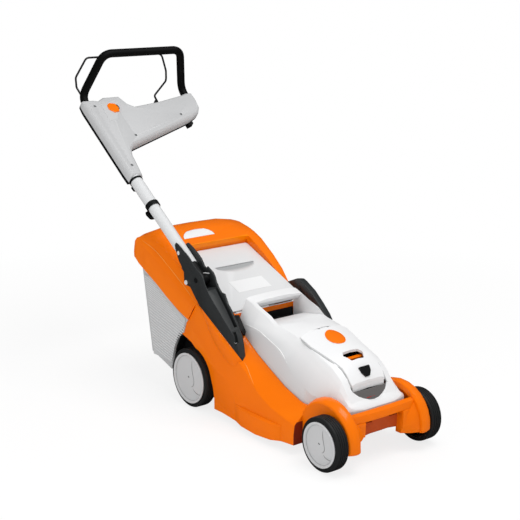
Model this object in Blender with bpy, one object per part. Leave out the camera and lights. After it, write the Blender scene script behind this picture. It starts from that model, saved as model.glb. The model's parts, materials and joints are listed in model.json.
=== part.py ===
"""Cordless rotary lawn mower, walk-behind, with a single-tube folding handle and a rear grass box.

Units are metres, +Z is up. The mower faces -Y, so its right-hand side, which carries the handle
tube, is -X. The design frame has Y = 0 halfway between the axles and Z = 0 on the ground; one
empty shifts the whole mower so that the origin lies on the ground under the middle of its length.
"""

from math import atan2, cos, pi, radians, sin, tan

import bmesh
import bpy
from mathutils import Vector

# Overall stance
WHEELBASE = 0.595
FRONT_WHEEL_R = 0.075
REAR_WHEEL_R = 0.090
HALF_WIDTH = 0.1945
MID_LENGTH_Y = 0.262
GAP = 0.0003
WALL = 0.0035

# Wheels
TYRE_W = 0.038
TYRE_SIDES = 28
SHOULDER = 0.003
GROOVE = 0.0018
GROOVES = 2
CAP_RIM = 0.0125
CAP_DISH = 0.0055
HUB_BORE_R = 0.0062
HUB_R = 0.0125
WEB_T = 0.004
SPOKES = 6
SPOKE_T = 0.004

# Height adjustment
STUB_R = 0.0060
SHAFT_R = 0.0050
CRANK_R = 0.036
CRANK_REST = radians(160.0)
CRANK_EYE_R = 0.0095
LINK_ARM_R = 0.020
LINK_ARM_REST = radians(55.0)
LINK_X = 0.1314
LINK_EYE_R = 0.0075
LINK_PIN_R = 0.0030

# Deck
DECK_SKIRT_X = 0.178
DECK_SHOULDER_X = 0.172
DECK_RIM_X = 0.1255
DECK_FRONT_Y = -0.338
DECK_NOSE_BOW = 0.006
SKIRT_FRONT_Y = -0.178
ROOF_Z = 0.108
FENDER_IN_X = 0.118
FENDER_OUT_X = 0.148
FENDER_R = 0.101
FENDER_CROWN = 0.010
FENDER_Y = -0.267
FENDER_Z = 0.068
FENDER_FOOT_Z = 0.054
BULGE_X = 0.1885
BULGE_TOP_Z = 0.068

# Cutting gear
BLADE_Y = -0.014
BLADE_R = 0.157
BLADE_W = 0.046
BLADE_T = 0.0030
BLADE_Z = 0.036
BLADE_WING = 0.016
MOTOR_R = 0.056
MOTOR_H = 0.058
MOTOR_SHAFT_R = 0.0060

# Hood and battery
HOOD_WALL = 0.003
BATTERY_X = 0.040
BATTERY_Y0 = -0.250
BATTERY_Y1 = -0.104
BATTERY_Z0 = 0.121
BATTERY_Z1 = 0.222
BAY_WALL = 0.003

# Chute, flap and grass box
FLAP_HALF_X = 0.134
FLAP_FRONT_Y = 0.157
FLAP_FRONT_Z = 0.318
FLAP_LENGTH = 0.305
FLAP_SLOPE = radians(21.1)
FLAP_T = 0.005
HINGE_R = 0.0030
BOX_X_LOW = 0.172
BOX_X_HIGH = 0.182
COVER_X = 0.188
BOX_WALL = 0.003
LOUVRES = 13
LOUVRE_DEPTH = 0.0016

# Handle
TUBE_X = -0.176
TUBE_SLOPE = radians(34.9)
TUBE_BASE_Y = 0.292
TUBE_BASE_Z = 0.4356
LOWER_TUBE_R = 0.0177
LOWER_TUBE_L = 0.356
UPPER_TUBE_R = 0.0193
TUBE_WALL = 0.0016
CLAMP_AT = 0.243
UPPER_TUBE_START = 0.247
UPPER_TUBE_END = 0.480
FOLD_BACK = 0.0575
HOUSING_SLOPE = radians(40.3)
SHELL_TOP = 0.024
SHELL_LOW = 0.022
GRIP_R = 0.0130
GRIP_X = 0.189
BAIL_R = 0.0032


def clear_scene():
    for old in list(bpy.data.objects):
        bpy.data.objects.remove(old, do_unlink=True)


def finish(name, colour, roughness=0.45, metallic=0.0):
    """One Principled material with the part's own colour."""
    mat = bpy.data.materials.new(name)
    mat.use_nodes = True
    bsdf = mat.node_tree.nodes["Principled BSDF"]
    bsdf.inputs["Base Color"].default_value = (*colour, 1.0)
    bsdf.inputs["Roughness"].default_value = roughness
    bsdf.inputs["Metallic"].default_value = metallic
    mat.diffuse_color = (*colour, 1.0)
    return mat


def pivot(name, at, parent):
    """An empty on a joint's axis, placed in the design frame."""
    empty = bpy.data.objects.new(name, None)
    bpy.context.collection.objects.link(empty)
    empty.empty_display_size = 0.03
    empty.parent = parent
    empty["at"] = tuple(at)
    origin = Vector(parent["at"]) if parent and "at" in parent else Vector((0, 0, 0))
    empty.location = Vector(at) - origin
    return empty


def add(name, verts, faces, material, parent, smooth=40.0, guide=False):
    """A mesh object whose points are given in the design frame, hung on its body's empty."""
    origin = Vector(parent["at"])
    mesh = bpy.data.meshes.new(name)
    mesh.from_pydata([Vector(v) - origin for v in verts], [], faces)
    bm = bmesh.new()
    bm.from_mesh(mesh)
    bmesh.ops.remove_doubles(bm, verts=bm.verts, dist=0.000001)
    bmesh.ops.recalc_face_normals(bm, faces=bm.faces)
    bm.to_mesh(mesh)
    bm.free()
    mesh.shade_smooth()
    mesh.set_sharp_from_angle(angle=radians(smooth))
    obj = bpy.data.objects.new(name, mesh)
    bpy.context.collection.objects.link(obj)
    obj.parent = parent
    if material:
        mesh.materials.append(material)
    if guide:
        obj.hide_render = True
        obj.display_type = "WIRE"
    return obj


def boolean(target, tools, operation):
    for tool in tools:
        mod = target.modifiers.new(operation.lower(), "BOOLEAN")
        mod.operation = operation
        mod.solver = "EXACT"
        mod.object = tool
    return target


def cut(target, *tools):
    return boolean(target, tools, "DIFFERENCE")


def fuse(target, *tools):
    return boolean(target, tools, "UNION")


def keep(target, *tools):
    return boolean(target, tools, "INTERSECT")


def loft(rings):
    """Points and faces of a closed solid through rings of equal count, capped at both ends.

    A twisted quad is split along the diagonal that leaves the middle plane, so that two skins
    over the same rings lie parallel.
    """
    n = len(rings[0])
    verts = [Vector(p) for ring in rings for p in ring]
    faces = []
    for k in range(len(rings) - 1):
        for i in range(n):
            a, b = k * n + i, k * n + (i + 1) % n
            c, d = b + n, a + n
            normal = (verts[c] - verts[a]).cross(verts[d] - verts[b])
            flat = normal.length < 1e-12 or abs((verts[b] - verts[a]).dot(normal.normalized())) < 1e-6
            if flat:
                faces.append((a, b, c, d))
            elif abs(verts[a].x) <= abs(verts[b].x):
                faces += [(a, b, c), (a, c, d)]
            else:
                faces += [(a, b, d), (b, c, d)]
    last = (len(rings) - 1) * n
    faces.append(tuple(range(n)))
    faces.append(tuple(range(last, last + n)))
    return verts, faces


def across(outline, x0, x1):
    """A side outline of (y, z) points run across the mower from x0 to x1."""
    return loft([[(x, y, z) for y, z in outline] for x in (x0, x1)])


def upright(outline, z0, z1):
    """A plan outline of (x, y) points run up from z0 to z1."""
    return loft([[(x, y, z) for x, y in outline] for z in (z0, z1)])


def box(x0, x1, y0, y1, z0, z1):
    return upright([(x0, y0), (x1, y0), (x1, y1), (x0, y1)], z0, z1)


def arc(cy, cz, r, a0, a1, steps):
    """Points on a circle in a plane, from angle a0 to a1."""
    return [
        (cy + r * cos(a0 + (a1 - a0) * i / steps), cz + r * sin(a0 + (a1 - a0) * i / steps))
        for i in range(steps + 1)
    ]


def filleted(outline, r, steps=3):
    """The outline with each corner rounded, by no more than its shorter side allows."""
    out = []
    n = len(outline)
    radii = r if isinstance(r, (list, tuple)) else [r] * n
    for i, p in enumerate(outline):
        p = Vector(p)
        a = Vector(outline[i - 1]) - p
        b = Vector(outline[(i + 1) % n]) - p
        if radii[i] <= 0.0:
            out.append(tuple(p))
            continue
        half = a.angle(b) / 2
        run = min(radii[i] / tan(half), 0.45 * a.length, 0.45 * b.length)
        start = p + a.normalized() * run
        end = p + b.normalized() * run
        for k in range(steps + 1):
            t = k / steps
            out.append(tuple(start * (1 - t) ** 2 + p * 2 * t * (1 - t) + end * t * t))
    return out


def inset(outline, d):
    """The closed outline, counter-clockwise, moved in by d along each corner's mitre."""
    n = len(outline)
    area = sum(
        outline[i - 1][0] * outline[i][1] - outline[i][0] * outline[i - 1][1] for i in range(n)
    )
    side = 1.0 if area > 0 else -1.0
    out = []
    for i in range(n):
        p = Vector(outline[i])
        a = (p - Vector(outline[i - 1])).normalized()
        b = (Vector(outline[(i + 1) % n]) - p).normalized()
        na = Vector((-a.y, a.x)) * side
        nb = Vector((-b.y, b.x)) * side
        mitre = (na + nb) / max(0.35, 1.0 + na.dot(nb))
        out.append(tuple(p + mitre * d))
    return out


def turned(profile, centre, axis="X", sides=24, phase=0.0):
    """A closed profile of (radius, along) pairs turned round an axis through centre."""
    cx, cy, cz = centre
    rings = []
    for k in range(sides):
        a = phase + 2 * pi * k / sides
        ring = []
        for r, h in profile:
            u, v = r * cos(a), r * sin(a)
            if axis == "X":
                ring.append((cx + h, cy + u, cz + v))
            elif axis == "Y":
                ring.append((cx + v, cy + h, cz + u))
            else:
                ring.append((cx + u, cy + v, cz + h))
        rings.append(ring)
    n = len(profile)
    verts = [p for ring in rings for p in ring]
    faces = []
    for k in range(sides):
        a = k * n
        b = ((k + 1) % sides) * n
        for i in range(n):
            j = (i + 1) % n
            if profile[i][0] == 0.0 and profile[j][0] == 0.0:
                continue
            if profile[i][0] == 0.0:
                faces.append((a + i, a + j, b + j))
            elif profile[j][0] == 0.0:
                faces.append((a + i, a + j, b + i))
            else:
                faces.append((a + i, a + j, b + j, b + i))
    return verts, faces


def rod(centre, r, x0, x1, sides=16, axis="X"):
    return turned([(0.0, x0), (r, x0), (r, x1), (0.0, x1)], centre, axis, sides, pi / sides)


def frames(points):
    """Directions along a path and two steady directions across it."""
    pts = [Vector(p) for p in points]
    along = []
    for i in range(len(pts)):
        a = pts[max(i - 1, 0)]
        b = pts[min(i + 1, len(pts) - 1)]
        along.append((b - a).normalized())
    side = along[0].orthogonal().normalized()
    out = []
    for t in along:
        side = (side - t * side.dot(t)).normalized()
        out.append((t, side, t.cross(side)))
    return pts, out


def sweep(points, r, sides=12):
    """A round bar of radius r along the points."""
    pts, dirs = frames(points)
    rings = []
    for p, (_, a, b) in zip(pts, dirs):
        rings.append(
            [p + a * r * cos(2 * pi * k / sides) + b * r * sin(2 * pi * k / sides) for k in range(sides)]
        )
    return loft(rings)


def bent(points, radius, steps=5):
    """The path with each inner corner rounded to the given radius, in space."""
    pts = [Vector(p) for p in points]
    out = [pts[0]]
    for i in range(1, len(pts) - 1):
        p = pts[i]
        a = pts[i - 1] - p
        b = pts[i + 1] - p
        run = min(radius / tan(a.angle(b) / 2), 0.48 * a.length, 0.48 * b.length)
        start = p + a.normalized() * run
        end = p + b.normalized() * run
        for k in range(steps + 1):
            t = k / steps
            out.append(start * (1 - t) ** 2 + p * 2 * t * (1 - t) + end * t * t)
    out.append(pts[-1])
    return out


class Plane:
    """A tilted plane that carries handle parts: s runs up the handle, w stands off it, x is across."""

    def __init__(self, y, z, slope):
        self.origin = Vector((0.0, y, z))
        self.s = Vector((0.0, cos(slope), sin(slope)))
        self.w = Vector((0.0, -sin(slope), cos(slope)))

    def at(self, x, s, w):
        return self.origin + Vector((x, 0, 0)) + self.s * s + self.w * w

    def slab(self, outline, w0, w1):
        """An outline of (x, s) points between two heights off the plane."""
        return loft([[self.at(x, s, w) for x, s in outline] for w in (w0, w1)])

    def side(self, outline, x0, x1):
        """An outline of (s, w) points run across."""
        return loft([[self.at(x, s, w) for s, w in outline] for x in (x0, x1)])

    def bar(self, x, w, r, s0, s1, sides=20):
        """A round bar up the handle."""
        rings = []
        for s in (s0, s1):
            rings.append(
                [
                    self.at(x + r * cos(2 * pi * k / sides), s, w + r * sin(2 * pi * k / sides))
                    for k in range(sides)
                ]
            )
        return loft(rings)


def lerp_rows(rows, y):
    """Values between the rows of a table whose first column is y."""
    if y <= rows[0][0]:
        return rows[0][1:]
    for a, b in zip(rows, rows[1:]):
        if y <= b[0]:
            t = (y - a[0]) / (b[0] - a[0])
            return tuple(p + (q - p) * t for p, q in zip(a[1:], b[1:]))
    return rows[-1][1:]


clear_scene()

FRONT_AXLE_Y = -WHEELBASE / 2
REAR_AXLE_Y = WHEELBASE / 2
FLAT = cos(pi / TYRE_SIDES)
FRONT_AXLE_Z = FRONT_WHEEL_R * FLAT
REAR_AXLE_Z = REAR_WHEEL_R * FLAT
FRONT_SHAFT = (FRONT_AXLE_Y - CRANK_R * cos(CRANK_REST), FRONT_AXLE_Z - CRANK_R * sin(CRANK_REST))
REAR_SHAFT = (REAR_AXLE_Y - CRANK_R * cos(CRANK_REST), REAR_AXLE_Z - CRANK_R * sin(CRANK_REST))
LINK_OFFSET = (LINK_ARM_R * cos(LINK_ARM_REST), LINK_ARM_R * sin(LINK_ARM_REST))

ORANGE = finish("orange_plastic", (0.90, 0.20, 0.01), 0.35)
PALE = finish("pale_grey_plastic", (0.72, 0.72, 0.73), 0.40)
GREY = finish("grey_plastic", (0.52, 0.53, 0.53), 0.50)
BLACK = finish("black_plastic", (0.025, 0.025, 0.027), 0.50)
CHARCOAL = finish("charcoal_plastic", (0.055, 0.060, 0.062), 0.45)
RUBBER = finish("tyre_rubber", (0.020, 0.021, 0.022), 0.80)
FOAM = finish("grip_foam", (0.018, 0.018, 0.020), 0.85)
STEEL = finish("zinc_plated_steel", (0.62, 0.63, 0.64), 0.30, 1.0)
BLADE_STEEL = finish("painted_blade_steel", (0.08, 0.08, 0.085), 0.45, 0.6)
SILVER_TUBE = finish("silver_painted_tube", (0.60, 0.61, 0.61), 0.40, 0.3)
SMOKE = finish("smoked_plastic", (0.10, 0.08, 0.08), 0.15)

datum = pivot("mower_datum", (0.0, 0.0, 0.0), None)
datum.location = (0.0, -MID_LENGTH_Y, 0.0)


def flap_z(y, drop=0.0):
    """Height of the flap's upper face at y, or of a surface lying drop below it."""
    return FLAP_FRONT_Z + (y - FLAP_FRONT_Y) * tan(FLAP_SLOPE) - drop / cos(FLAP_SLOPE)


FLAP_SEAT = FLAP_T + GAP

# Deck: half sections across the mower, one row for each station along it
# y, skirt foot z, shoulder z, inner rim z
DECK_ROWS = [
    (SKIRT_FRONT_Y, 0.030, 0.092, 0.124),
    (-0.137, 0.026, 0.098, 0.134),
    (-0.071, 0.018, 0.113, 0.156),
    (-0.016, 0.013, 0.138, 0.183),
    (0.045, 0.015, 0.188, 0.214),
    (0.103, 0.020, 0.222, 0.251),
    (0.1445, 0.023, 0.253, 0.280),
    (0.1515, 0.023, 0.258, 0.3105),
    (0.164, 0.023, 0.266, flap_z(0.164, FLAP_SEAT)),
    (0.215, 0.023, 0.294, flap_z(0.215, FLAP_SEAT)),
    (0.277, 0.023, 0.328, flap_z(0.277, FLAP_SEAT)),
    (0.352, 0.023, 0.350, flap_z(0.352, FLAP_SEAT)),
]


def mirrored(half, y):
    """A ring across the mower from its half on the +X side."""
    return [(x, y, z) for x, z in half] + [(-x, y, z) for x, z in reversed(half)]


def deck_ring(row, grow=0.0):
    y, foot, shoulder, rim = row
    lift = grow * 1.5
    return mirrored(
        [
            (DECK_SKIRT_X + grow, foot - grow),
            (DECK_SKIRT_X - 0.0005 + grow, (foot + shoulder) / 2),
            (DECK_SHOULDER_X + 0.002 + grow, shoulder - 0.007 + grow),
            (DECK_SHOULDER_X - 0.004, shoulder + lift),
            (DECK_RIM_X + 0.012, rim - 0.006 + lift),
            (DECK_RIM_X, rim + lift),
        ],
        y,
    )


def hollow_half(row):
    """The inside of the side skirt, one wall in from the section's outer points."""
    y, foot, shoulder, rim = row
    drop = WALL * 1.7
    return [
        (DECK_SKIRT_X - WALL, foot - 0.05),
        (DECK_SKIRT_X - WALL - 0.0005, (foot + shoulder) / 2),
        (DECK_SHOULDER_X + 0.002 - WALL, shoulder - 0.007 - WALL),
        (DECK_SHOULDER_X - 0.004 - WALL, shoulder - drop),
        (DECK_RIM_X + 0.010, rim - 0.006 - drop),
        (CHUTE_X + WALL, rim - drop),
    ]


CHUTE_X = DECK_RIM_X
CHAMBER_END_Y = 0.154
CHUTE_START_Y = 0.1505
BULKHEAD_Y = 0.1465


def arch_points(r, start, stop, steps):
    """The lopsided arch over a front wheel, from its front foot over to the back."""
    out = []
    for k in range(steps + 1):
        a = start + (stop - start) * k / steps
        out.append((FENDER_Y - r * cos(a), FENDER_Z + r * sin(a)))
    return out


def nose_ring(x):
    """A section of the nose: a band under the hood's lip over a panel set back to a middle ridge."""
    share = min(1.0, abs(x) / NOSE_X)
    bow = DECK_NOSE_BOW * (1 - share * share)
    front = DECK_FRONT_Y - bow
    t = min(1.0, abs(x) / PANEL_X)
    panel = front + 0.0005 if abs(x) > PANEL_X else DECK_FRONT_Y + PANEL_IN + (PANEL_DRAFT * t)
    foot = PANEL_FOOT_Z - PANEL_ARCH * t * t
    return [
        (x, SKIRT_FRONT_Y + 0.011, 0.058),
        (x, panel + 0.004, foot),
        (x, panel, foot + 0.004),
        (x, panel - 0.0015, BAND_Z - 0.003),
        (x, front + 0.0015, BAND_Z),
        (x, front, BAND_Z + 0.003),
        (x, front + 0.002, 0.141),
        (x, front + 0.014, 0.146),
        (x, SKIRT_FRONT_Y + 0.011, 0.1235),
    ]


def flare_ring(x, r, foot):
    """A section of the flare between the nose and a fender, a part of the fender's arch."""
    arch = arch_points(r, radians(-4), radians(118), 8)
    return [(x, FENDER_Y + 0.5 * r, foot)] + [(x, y, z) for y, z in [(arch[0][0] + 0.004, foot)] + arch]


def make_deck():
    """One moulding: skirts, nose panel, wheel fenders, blade chamber, chute walls and its ramp."""
    deck = add("deck_housing", *loft([deck_ring(r) for r in DECK_ROWS]), ORANGE, datum, 32.0)

    rings = [nose_ring(x) for x in (-NOSE_X, -PANEL_X - 0.001, -PANEL_X, -PANEL_X / 2, 0.0)]
    rings += [[(-x, y, z) for x, y, z in ring] for ring in reversed(rings[:-1])]
    forms = [add("nose_form", *loft(rings), None, datum, guide=True)]
    for side in (-1, 1):
        profile = [
            (FENDER_IN_X - 0.006, FENDER_R + 0.004),
            (FENDER_IN_X - 0.001, FENDER_R + FENDER_CROWN - 0.001),
            (FENDER_IN_X + 0.008, FENDER_R + FENDER_CROWN),
            (FENDER_OUT_X - 0.010, FENDER_R + 0.007),
            (FENDER_OUT_X - 0.002, FENDER_R + 0.002),
            (FENDER_OUT_X, FENDER_R - 0.002),
        ]
        rings = []
        for x, r in profile:
            arch = arch_points(r, radians(-4), radians(150), 11)
            foot = [(SKIRT_FRONT_Y + 0.012, FENDER_FOOT_Z), (arch[0][0] + 0.006, FENDER_FOOT_Z)]
            rings.append([(side * x, y, z) for y, z in foot + arch])
        forms.append(add(f"fender_form_{side}", *loft(rings), None, datum, guide=True))
        flare = [
            (PANEL_X, FLARE_R),
            (0.5 * (PANEL_X + FENDER_IN_X), 0.88 * FENDER_R),
            (FENDER_IN_X + 0.001, FENDER_R - 0.001),
        ]
        forms.append(
            add(
                f"flare_form_{side}",
                *loft([flare_ring(side * x, r, FENDER_FOOT_Z) for x, r in flare]),
                None,
                datum,
                guide=True,
            )
        )
        plan = [
            (DECK_SKIRT_X - 0.006, -0.122, 0.024),
            (DECK_SKIRT_X + 0.0005, -0.121, 0.024),
            (BULGE_X - 0.001, -0.088, 0.019),
            (BULGE_X, -0.022, 0.0135),
            (BULGE_X - 0.002, 0.045, 0.0155),
            (DECK_SKIRT_X + 0.0005, 0.083, 0.019),
            (DECK_SKIRT_X - 0.006, 0.084, 0.019),
        ]
        low = [(side * x, y, z) for x, y, z in plan]
        high = [(side * x, y, BULGE_TOP_Z - 0.003) for x, y, z in plan]
        lip = [(side * min(x, DECK_SKIRT_X + 0.003), y, BULGE_TOP_Z + 0.002) for x, y, z in plan]
        forms.append(add(f"bulge_form_{side}", *loft([low, high, lip]), None, datum, guide=True))
    fuse(deck, *forms)

    cutters = []

    def cutter(name, solid):
        cutters.append(add(name, *solid, None, datum, guide=True))

    stations = [(SKIRT_FRONT_Y + WALL, *DECK_ROWS[0][1:])] + DECK_ROWS[1:7]
    stations.append((CHAMBER_END_Y, *lerp_rows(DECK_ROWS, CHAMBER_END_Y)))
    rings = []
    for row in stations:
        half = hollow_half(row) + [(CHUTE_X + WALL, ROOF_Z - WALL)]
        rings.append(mirrored(half, row[0]))
    cutter("chamber_cut", loft(rings))
    for side in (-1, 1):
        rings = []
        for row in [(CHUTE_START_Y + 0.001, *lerp_rows(DECK_ROWS, CHUTE_START_Y))] + DECK_ROWS[8:]:
            half = [(x - 0.0004, z - 0.0005) for x, z in hollow_half(row)]
            y = row[0] + (0.01 if row is DECK_ROWS[-1] else 0.0)
            rings.append([(side * x, y, z) for x, z in half + [(half[-1][0], half[0][1])]])
        cutter(f"wing_cut_{side}", loft(rings))

    nose_y = DECK_FRONT_Y + PANEL_IN + PANEL_DRAFT + 0.0045
    cutter("nose_cut", across([(SKIRT_FRONT_Y - WALL, 0.0), (nose_y, 0.0), (nose_y, 0.1045),
                               (SKIRT_FRONT_Y - WALL, 0.1045)], -NOSE_X + 0.0035, NOSE_X - 0.0035))
    for side in (-1, 1):
        arch = [
            p
            for p in arch_points(FENDER_R - WALL, 0.0, radians(150), 12) if p[0] < SKIRT_FRONT_Y - WALL
        ]
        outline = [(SKIRT_FRONT_Y - WALL - 0.001, 0.0), (arch[0][0], 0.0)] + arch
        outline.append((SKIRT_FRONT_Y - WALL - 0.001, arch[-1][1] - 0.002))
        lo, hi = sorted((side * (FENDER_IN_X + 0.004), side * (FENDER_OUT_X - WALL)))
        cutter(f"fender_cut_{side}", across(outline, lo, hi))
        hollow = [
            (PANEL_X + 0.006, FLARE_R - 0.004),
            (0.5 * (PANEL_X + FENDER_IN_X), 0.88 * FENDER_R - 0.006),
            (FENDER_IN_X + 0.0015, FENDER_R - 0.007),
        ]
        cutter(f"flare_cut_{side}", loft([flare_ring(side * x, r, 0.02) for x, r in hollow]))
        plan = [
            (DECK_SKIRT_X - 0.010, -0.112),
            (DECK_SKIRT_X - 0.0025, -0.113),
            (BULGE_X - WALL - 0.001, -0.085),
            (BULGE_X - WALL, -0.022),
            (BULGE_X - WALL - 0.002, 0.043),
            (DECK_SKIRT_X - 0.0025, 0.076),
            (DECK_SKIRT_X - 0.010, 0.075),
        ]
        cutter(
            f"bulge_cut_{side}",
            upright([(side * x, y) for x, y in plan], -0.02, BULGE_TOP_Z - WALL - 0.002),
        )

    well = [
        (FENDER_IN_X - 0.005, DECK_FRONT_Y + 0.0125),
        (FENDER_IN_X - 0.005, -0.165),
        (DECK_RIM_X - WALL, -0.150),
        (DECK_RIM_X - WALL, BULKHEAD_Y),
    ]
    plan = [(x, y) for x, y in well] + [(-x, y) for x, y in reversed(well)]
    cutter("hood_well_cut", upright(plan, ROOF_Z, 0.45))
    chute = [
        (CHUTE_START_Y, -0.02),
        (CHUTE_START_Y, 0.298),
        (CHUTE_START_Y + 0.0018, 0.3045),
        (CHUTE_START_Y + 0.0018, 0.45),
        (0.37, 0.45),
        (0.37, -0.02),
    ]
    cutter("chute_cut", across(chute, -CHUTE_X, CHUTE_X))
    cutter("wing_rear_cut", across([(0.268, 0.46), (SEAM[0][0], SEAM[0][1])] + SEAM[1:] +
                                   [(0.352, 0.205), (0.39, 0.205), (0.39, 0.46)], -0.23, 0.23))
    under = [
        (0.17, -0.03),
        (0.17, 0.0205),
        (RAMP_END[0] + 0.041, RAMP_END[1] + 0.0120),
        (RAMP_END[0] + 0.041, -0.03),
    ]
    cutter("under_ramp_cut", across(under, -CHUTE_X - WALL - 0.0015, CHUTE_X + WALL + 0.0015))
    well = [
        (0.186, -0.03),
        (0.186, 0.055),
        (0.192, 0.085),
    ]
    well += arc(REAR_AXLE_Y, REAR_AXLE_Z, REAR_WHEEL_R + 0.008, radians(165), radians(100), 7)
    well += [(0.300, 0.1985), (0.354, 0.2145), (0.40, 0.2145), (0.40, -0.03)]
    for side in (-1, 1):
        lo, hi = sorted((side * (CARRIER_X - 0.003), side * 0.22))
        cutter(f"rear_arch_cut_{side}", across(well, lo, hi))
        lo, hi = sorted((side * 0.1265, side * 0.1392))
        cutter(f"link_slot_{side}", box(lo, hi, -0.195, -0.165, 0.070, 0.094))
        lo, hi = sorted((side * 0.110, side * 0.156))
        cutter(f"front_shaft_hole_{side}", rod((0, *FRONT_SHAFT), SHAFT_R + GAP, lo, hi, 16))
    cutter("motor_shaft_hole", rod((0, BLADE_Y, 0), MOTOR_SHAFT_R + 0.004, 0.09, 0.12, 16, "Z"))
    cutter("lever_shaft_hole", rod((0, *LEVER_AT), LEVER_PIN_R + GAP, 0.165, 0.19, 12))
    for side in (-1, 1):
        lo, hi = sorted((side * (CHUTE_X - 0.01), side * (CHUTE_X + 0.0027)))
        cutter(f"hinge_seat_{side}", rod((0, *FLAP_HINGE), HINGE_R + GAP, lo, hi, 12))
    cut(deck, *cutters)
    ramp = [(0.156, 0.0155), (0.154, 0.0185), RAMP_END, (RAMP_END[0] + 0.002, RAMP_END[1] - 0.0030)]
    fuse(deck, add("ramp_form", *across(ramp, -CHUTE_X - 0.001, CHUTE_X + 0.001), None, datum, guide=True))
    return deck


NOSE_X = 0.120
RAMP_END = (0.349, 0.0960)
PANEL_X = 0.068
PANEL_IN = 0.010
PANEL_DRAFT = 0.008
PANEL_FOOT_Z = 0.076
PANEL_ARCH = 0.008
BAND_Z = 0.121
FLARE_R = FENDER_Y - DECK_FRONT_Y + 0.0005
CARRIER_X = 0.1465
CHEEK_BOSS_X = 0.1289
LEVER_AT = (0.120, 0.1344)
LEVER_PIN_R = 0.0045
FLAP_HINGE = (0.1585, 0.3080)
SEAM = [(0.262, 0.338), (0.283, 0.311), (0.315, 0.264), (0.326, 0.2525), (0.338, 0.2185), (0.352, 0.2135)]

make_deck()


# Hood sections, half on the +X side
# y, low x, low z, crease x, crease z, edge x, edge z, crown z
HOOD_ROWS = [
    (-0.3220, 0.0560, 0.120, 0.0565, 0.139, 0.052, 0.146, 0.148),
    (-0.3170, 0.0860, 0.120, 0.0870, 0.142, 0.080, 0.152, 0.154),
    (-0.3105, 0.1010, 0.120, 0.1020, 0.146, 0.092, 0.156, 0.160),
    (-0.3000, 0.1080, 0.120, 0.1085, 0.149, 0.094, 0.160, 0.166),
    (-0.2850, 0.1090, 0.120, 0.1095, 0.150, 0.093, 0.173, 0.190),
    (-0.2620, 0.1100, 0.120, 0.1105, 0.152, 0.092, 0.193, 0.226),
    (-0.2400, 0.1100, 0.120, 0.1105, 0.153, 0.092, 0.209, 0.246),
    (-0.2220, 0.1105, 0.119, 0.1110, 0.154, 0.092, 0.219, 0.258),
    (-0.1680, 0.1105, 0.118, 0.1125, 0.160, 0.092, 0.240, 0.2775),
    (-0.1460, 0.1195, 0.120, 0.1140, 0.170, 0.092, 0.247, 0.286),
    (-0.0990, 0.1212, 0.135, 0.1150, 0.192, 0.092, 0.263, 0.305),
    (-0.0610, 0.1212, 0.148, 0.1155, 0.228, 0.092, 0.2755, 0.310),
    (-0.0160, 0.1212, 0.171, 0.1155, 0.259, 0.092, 0.291, 0.310),
    (0.0090, 0.1212, 0.185, 0.1155, 0.266, 0.092, 0.300, 0.314),
    (0.0380, 0.1212, 0.199, 0.1155, 0.274, 0.092, 0.319, 0.330),
    (0.0820, 0.1212, 0.228, 0.1155, 0.286, 0.092, 0.332, 0.345),
    (0.1150, 0.1212, 0.248, 0.1155, 0.2935, 0.092, 0.345, 0.356),
    (0.1425, 0.1212, 0.266, 0.1155, 0.3000, 0.0935, 0.353, 0.360),
]
HOOD_STEP = 0.0068
LID_STEP = 0.0033
LID_T = 0.0030
TROUGH_X = 0.0835
TROUGH_Y0 = -0.060
TROUGH_Z0 = 0.3175
TROUGH_Y1 = 0.100
TROUGH_Z1 = 0.2895
BAR_Y = 0.107
BAR_Z = 0.3315


def trough_z(y):
    return TROUGH_Z0 + (TROUGH_Z1 - TROUGH_Z0) * (y - TROUGH_Y0) / (TROUGH_Y1 - TROUGH_Y0)


def crown_points(wt, zt, crown):
    """The hood's top from its side edge to the middle: nearly flat, rolling over at the edge."""
    rise = crown - zt
    return [(wt, zt), (0.9 * wt, zt + 0.55 * rise), (0.5 * wt, zt + 0.9 * rise), (0.0, crown)]


def full_ring(half, y):
    """A ring whose half ends on the middle plane."""
    return [(x, y, z) for x, z in half] + [(-x, y, z) for x, z in reversed(half[:-1])]


def hood_outer(row):
    y, wl, zl, wc, zc, wt, zt, crown = row
    return full_ring([(wl, zl), (wc, zc)] + crown_points(wt, zt, crown), y)


def hood_inner(row, side, top):
    """The hollow under the hood, also kept below the floor of the carrying trough."""
    y, wl, zl, wc, zc, wt, zt, crown = row
    half = [(wl - side, zl - 0.02), (wc - side, zc)]
    ceiling = trough_z(y) - HOOD_WALL - (top - HOOD_STEP) if y > -0.02 else 1.0
    for x, z in crown_points(wt - side, zt, crown):
        half.append((x, min(z - top, ceiling)))
    return full_ring(half, y)


def hood_hollow(side, top):
    rows = [list(r) for r in HOOD_ROWS if -0.305 < r[0] < 0.09]
    nose = list(HOOD_ROWS[2])
    nose[0] = -0.3135 + (side - HOOD_WALL)
    nose[1] = nose[3] = 0.086
    nose[5] = 0.078
    rear = [0.097] + list(lerp_rows(HOOD_ROWS, 0.097))
    return loft([hood_inner(r, side, top) for r in [nose] + rows + [rear]])


def hood_sheet(upper, lower, y0=-0.318, y1=-0.05):
    """A layer over the hood's crown between two heights above its surface."""
    rings = []
    stations = [y0] + [r[0] for r in HOOD_ROWS if y0 < r[0] < y1] + [y1]
    for y in stations:
        wl, zl, wc, zc, wt, zt, crown = lerp_rows(HOOD_ROWS, y)
        top = crown_points(wt, zt, crown)
        over = [(x, z + upper) for x, z in top[:-1]] + [(0.0, crown + upper)]
        over += [(-x, z + upper) for x, z in reversed(top[:-1])]
        under = [(-x, z + lower) for x, z in top[:-1]] + [(0.0, crown + lower)]
        under += [(x, z + lower) for x, z in reversed(top[:-1])]
        rings.append([(x, y, z) for x, z in over + under])
    return loft(rings)


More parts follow.
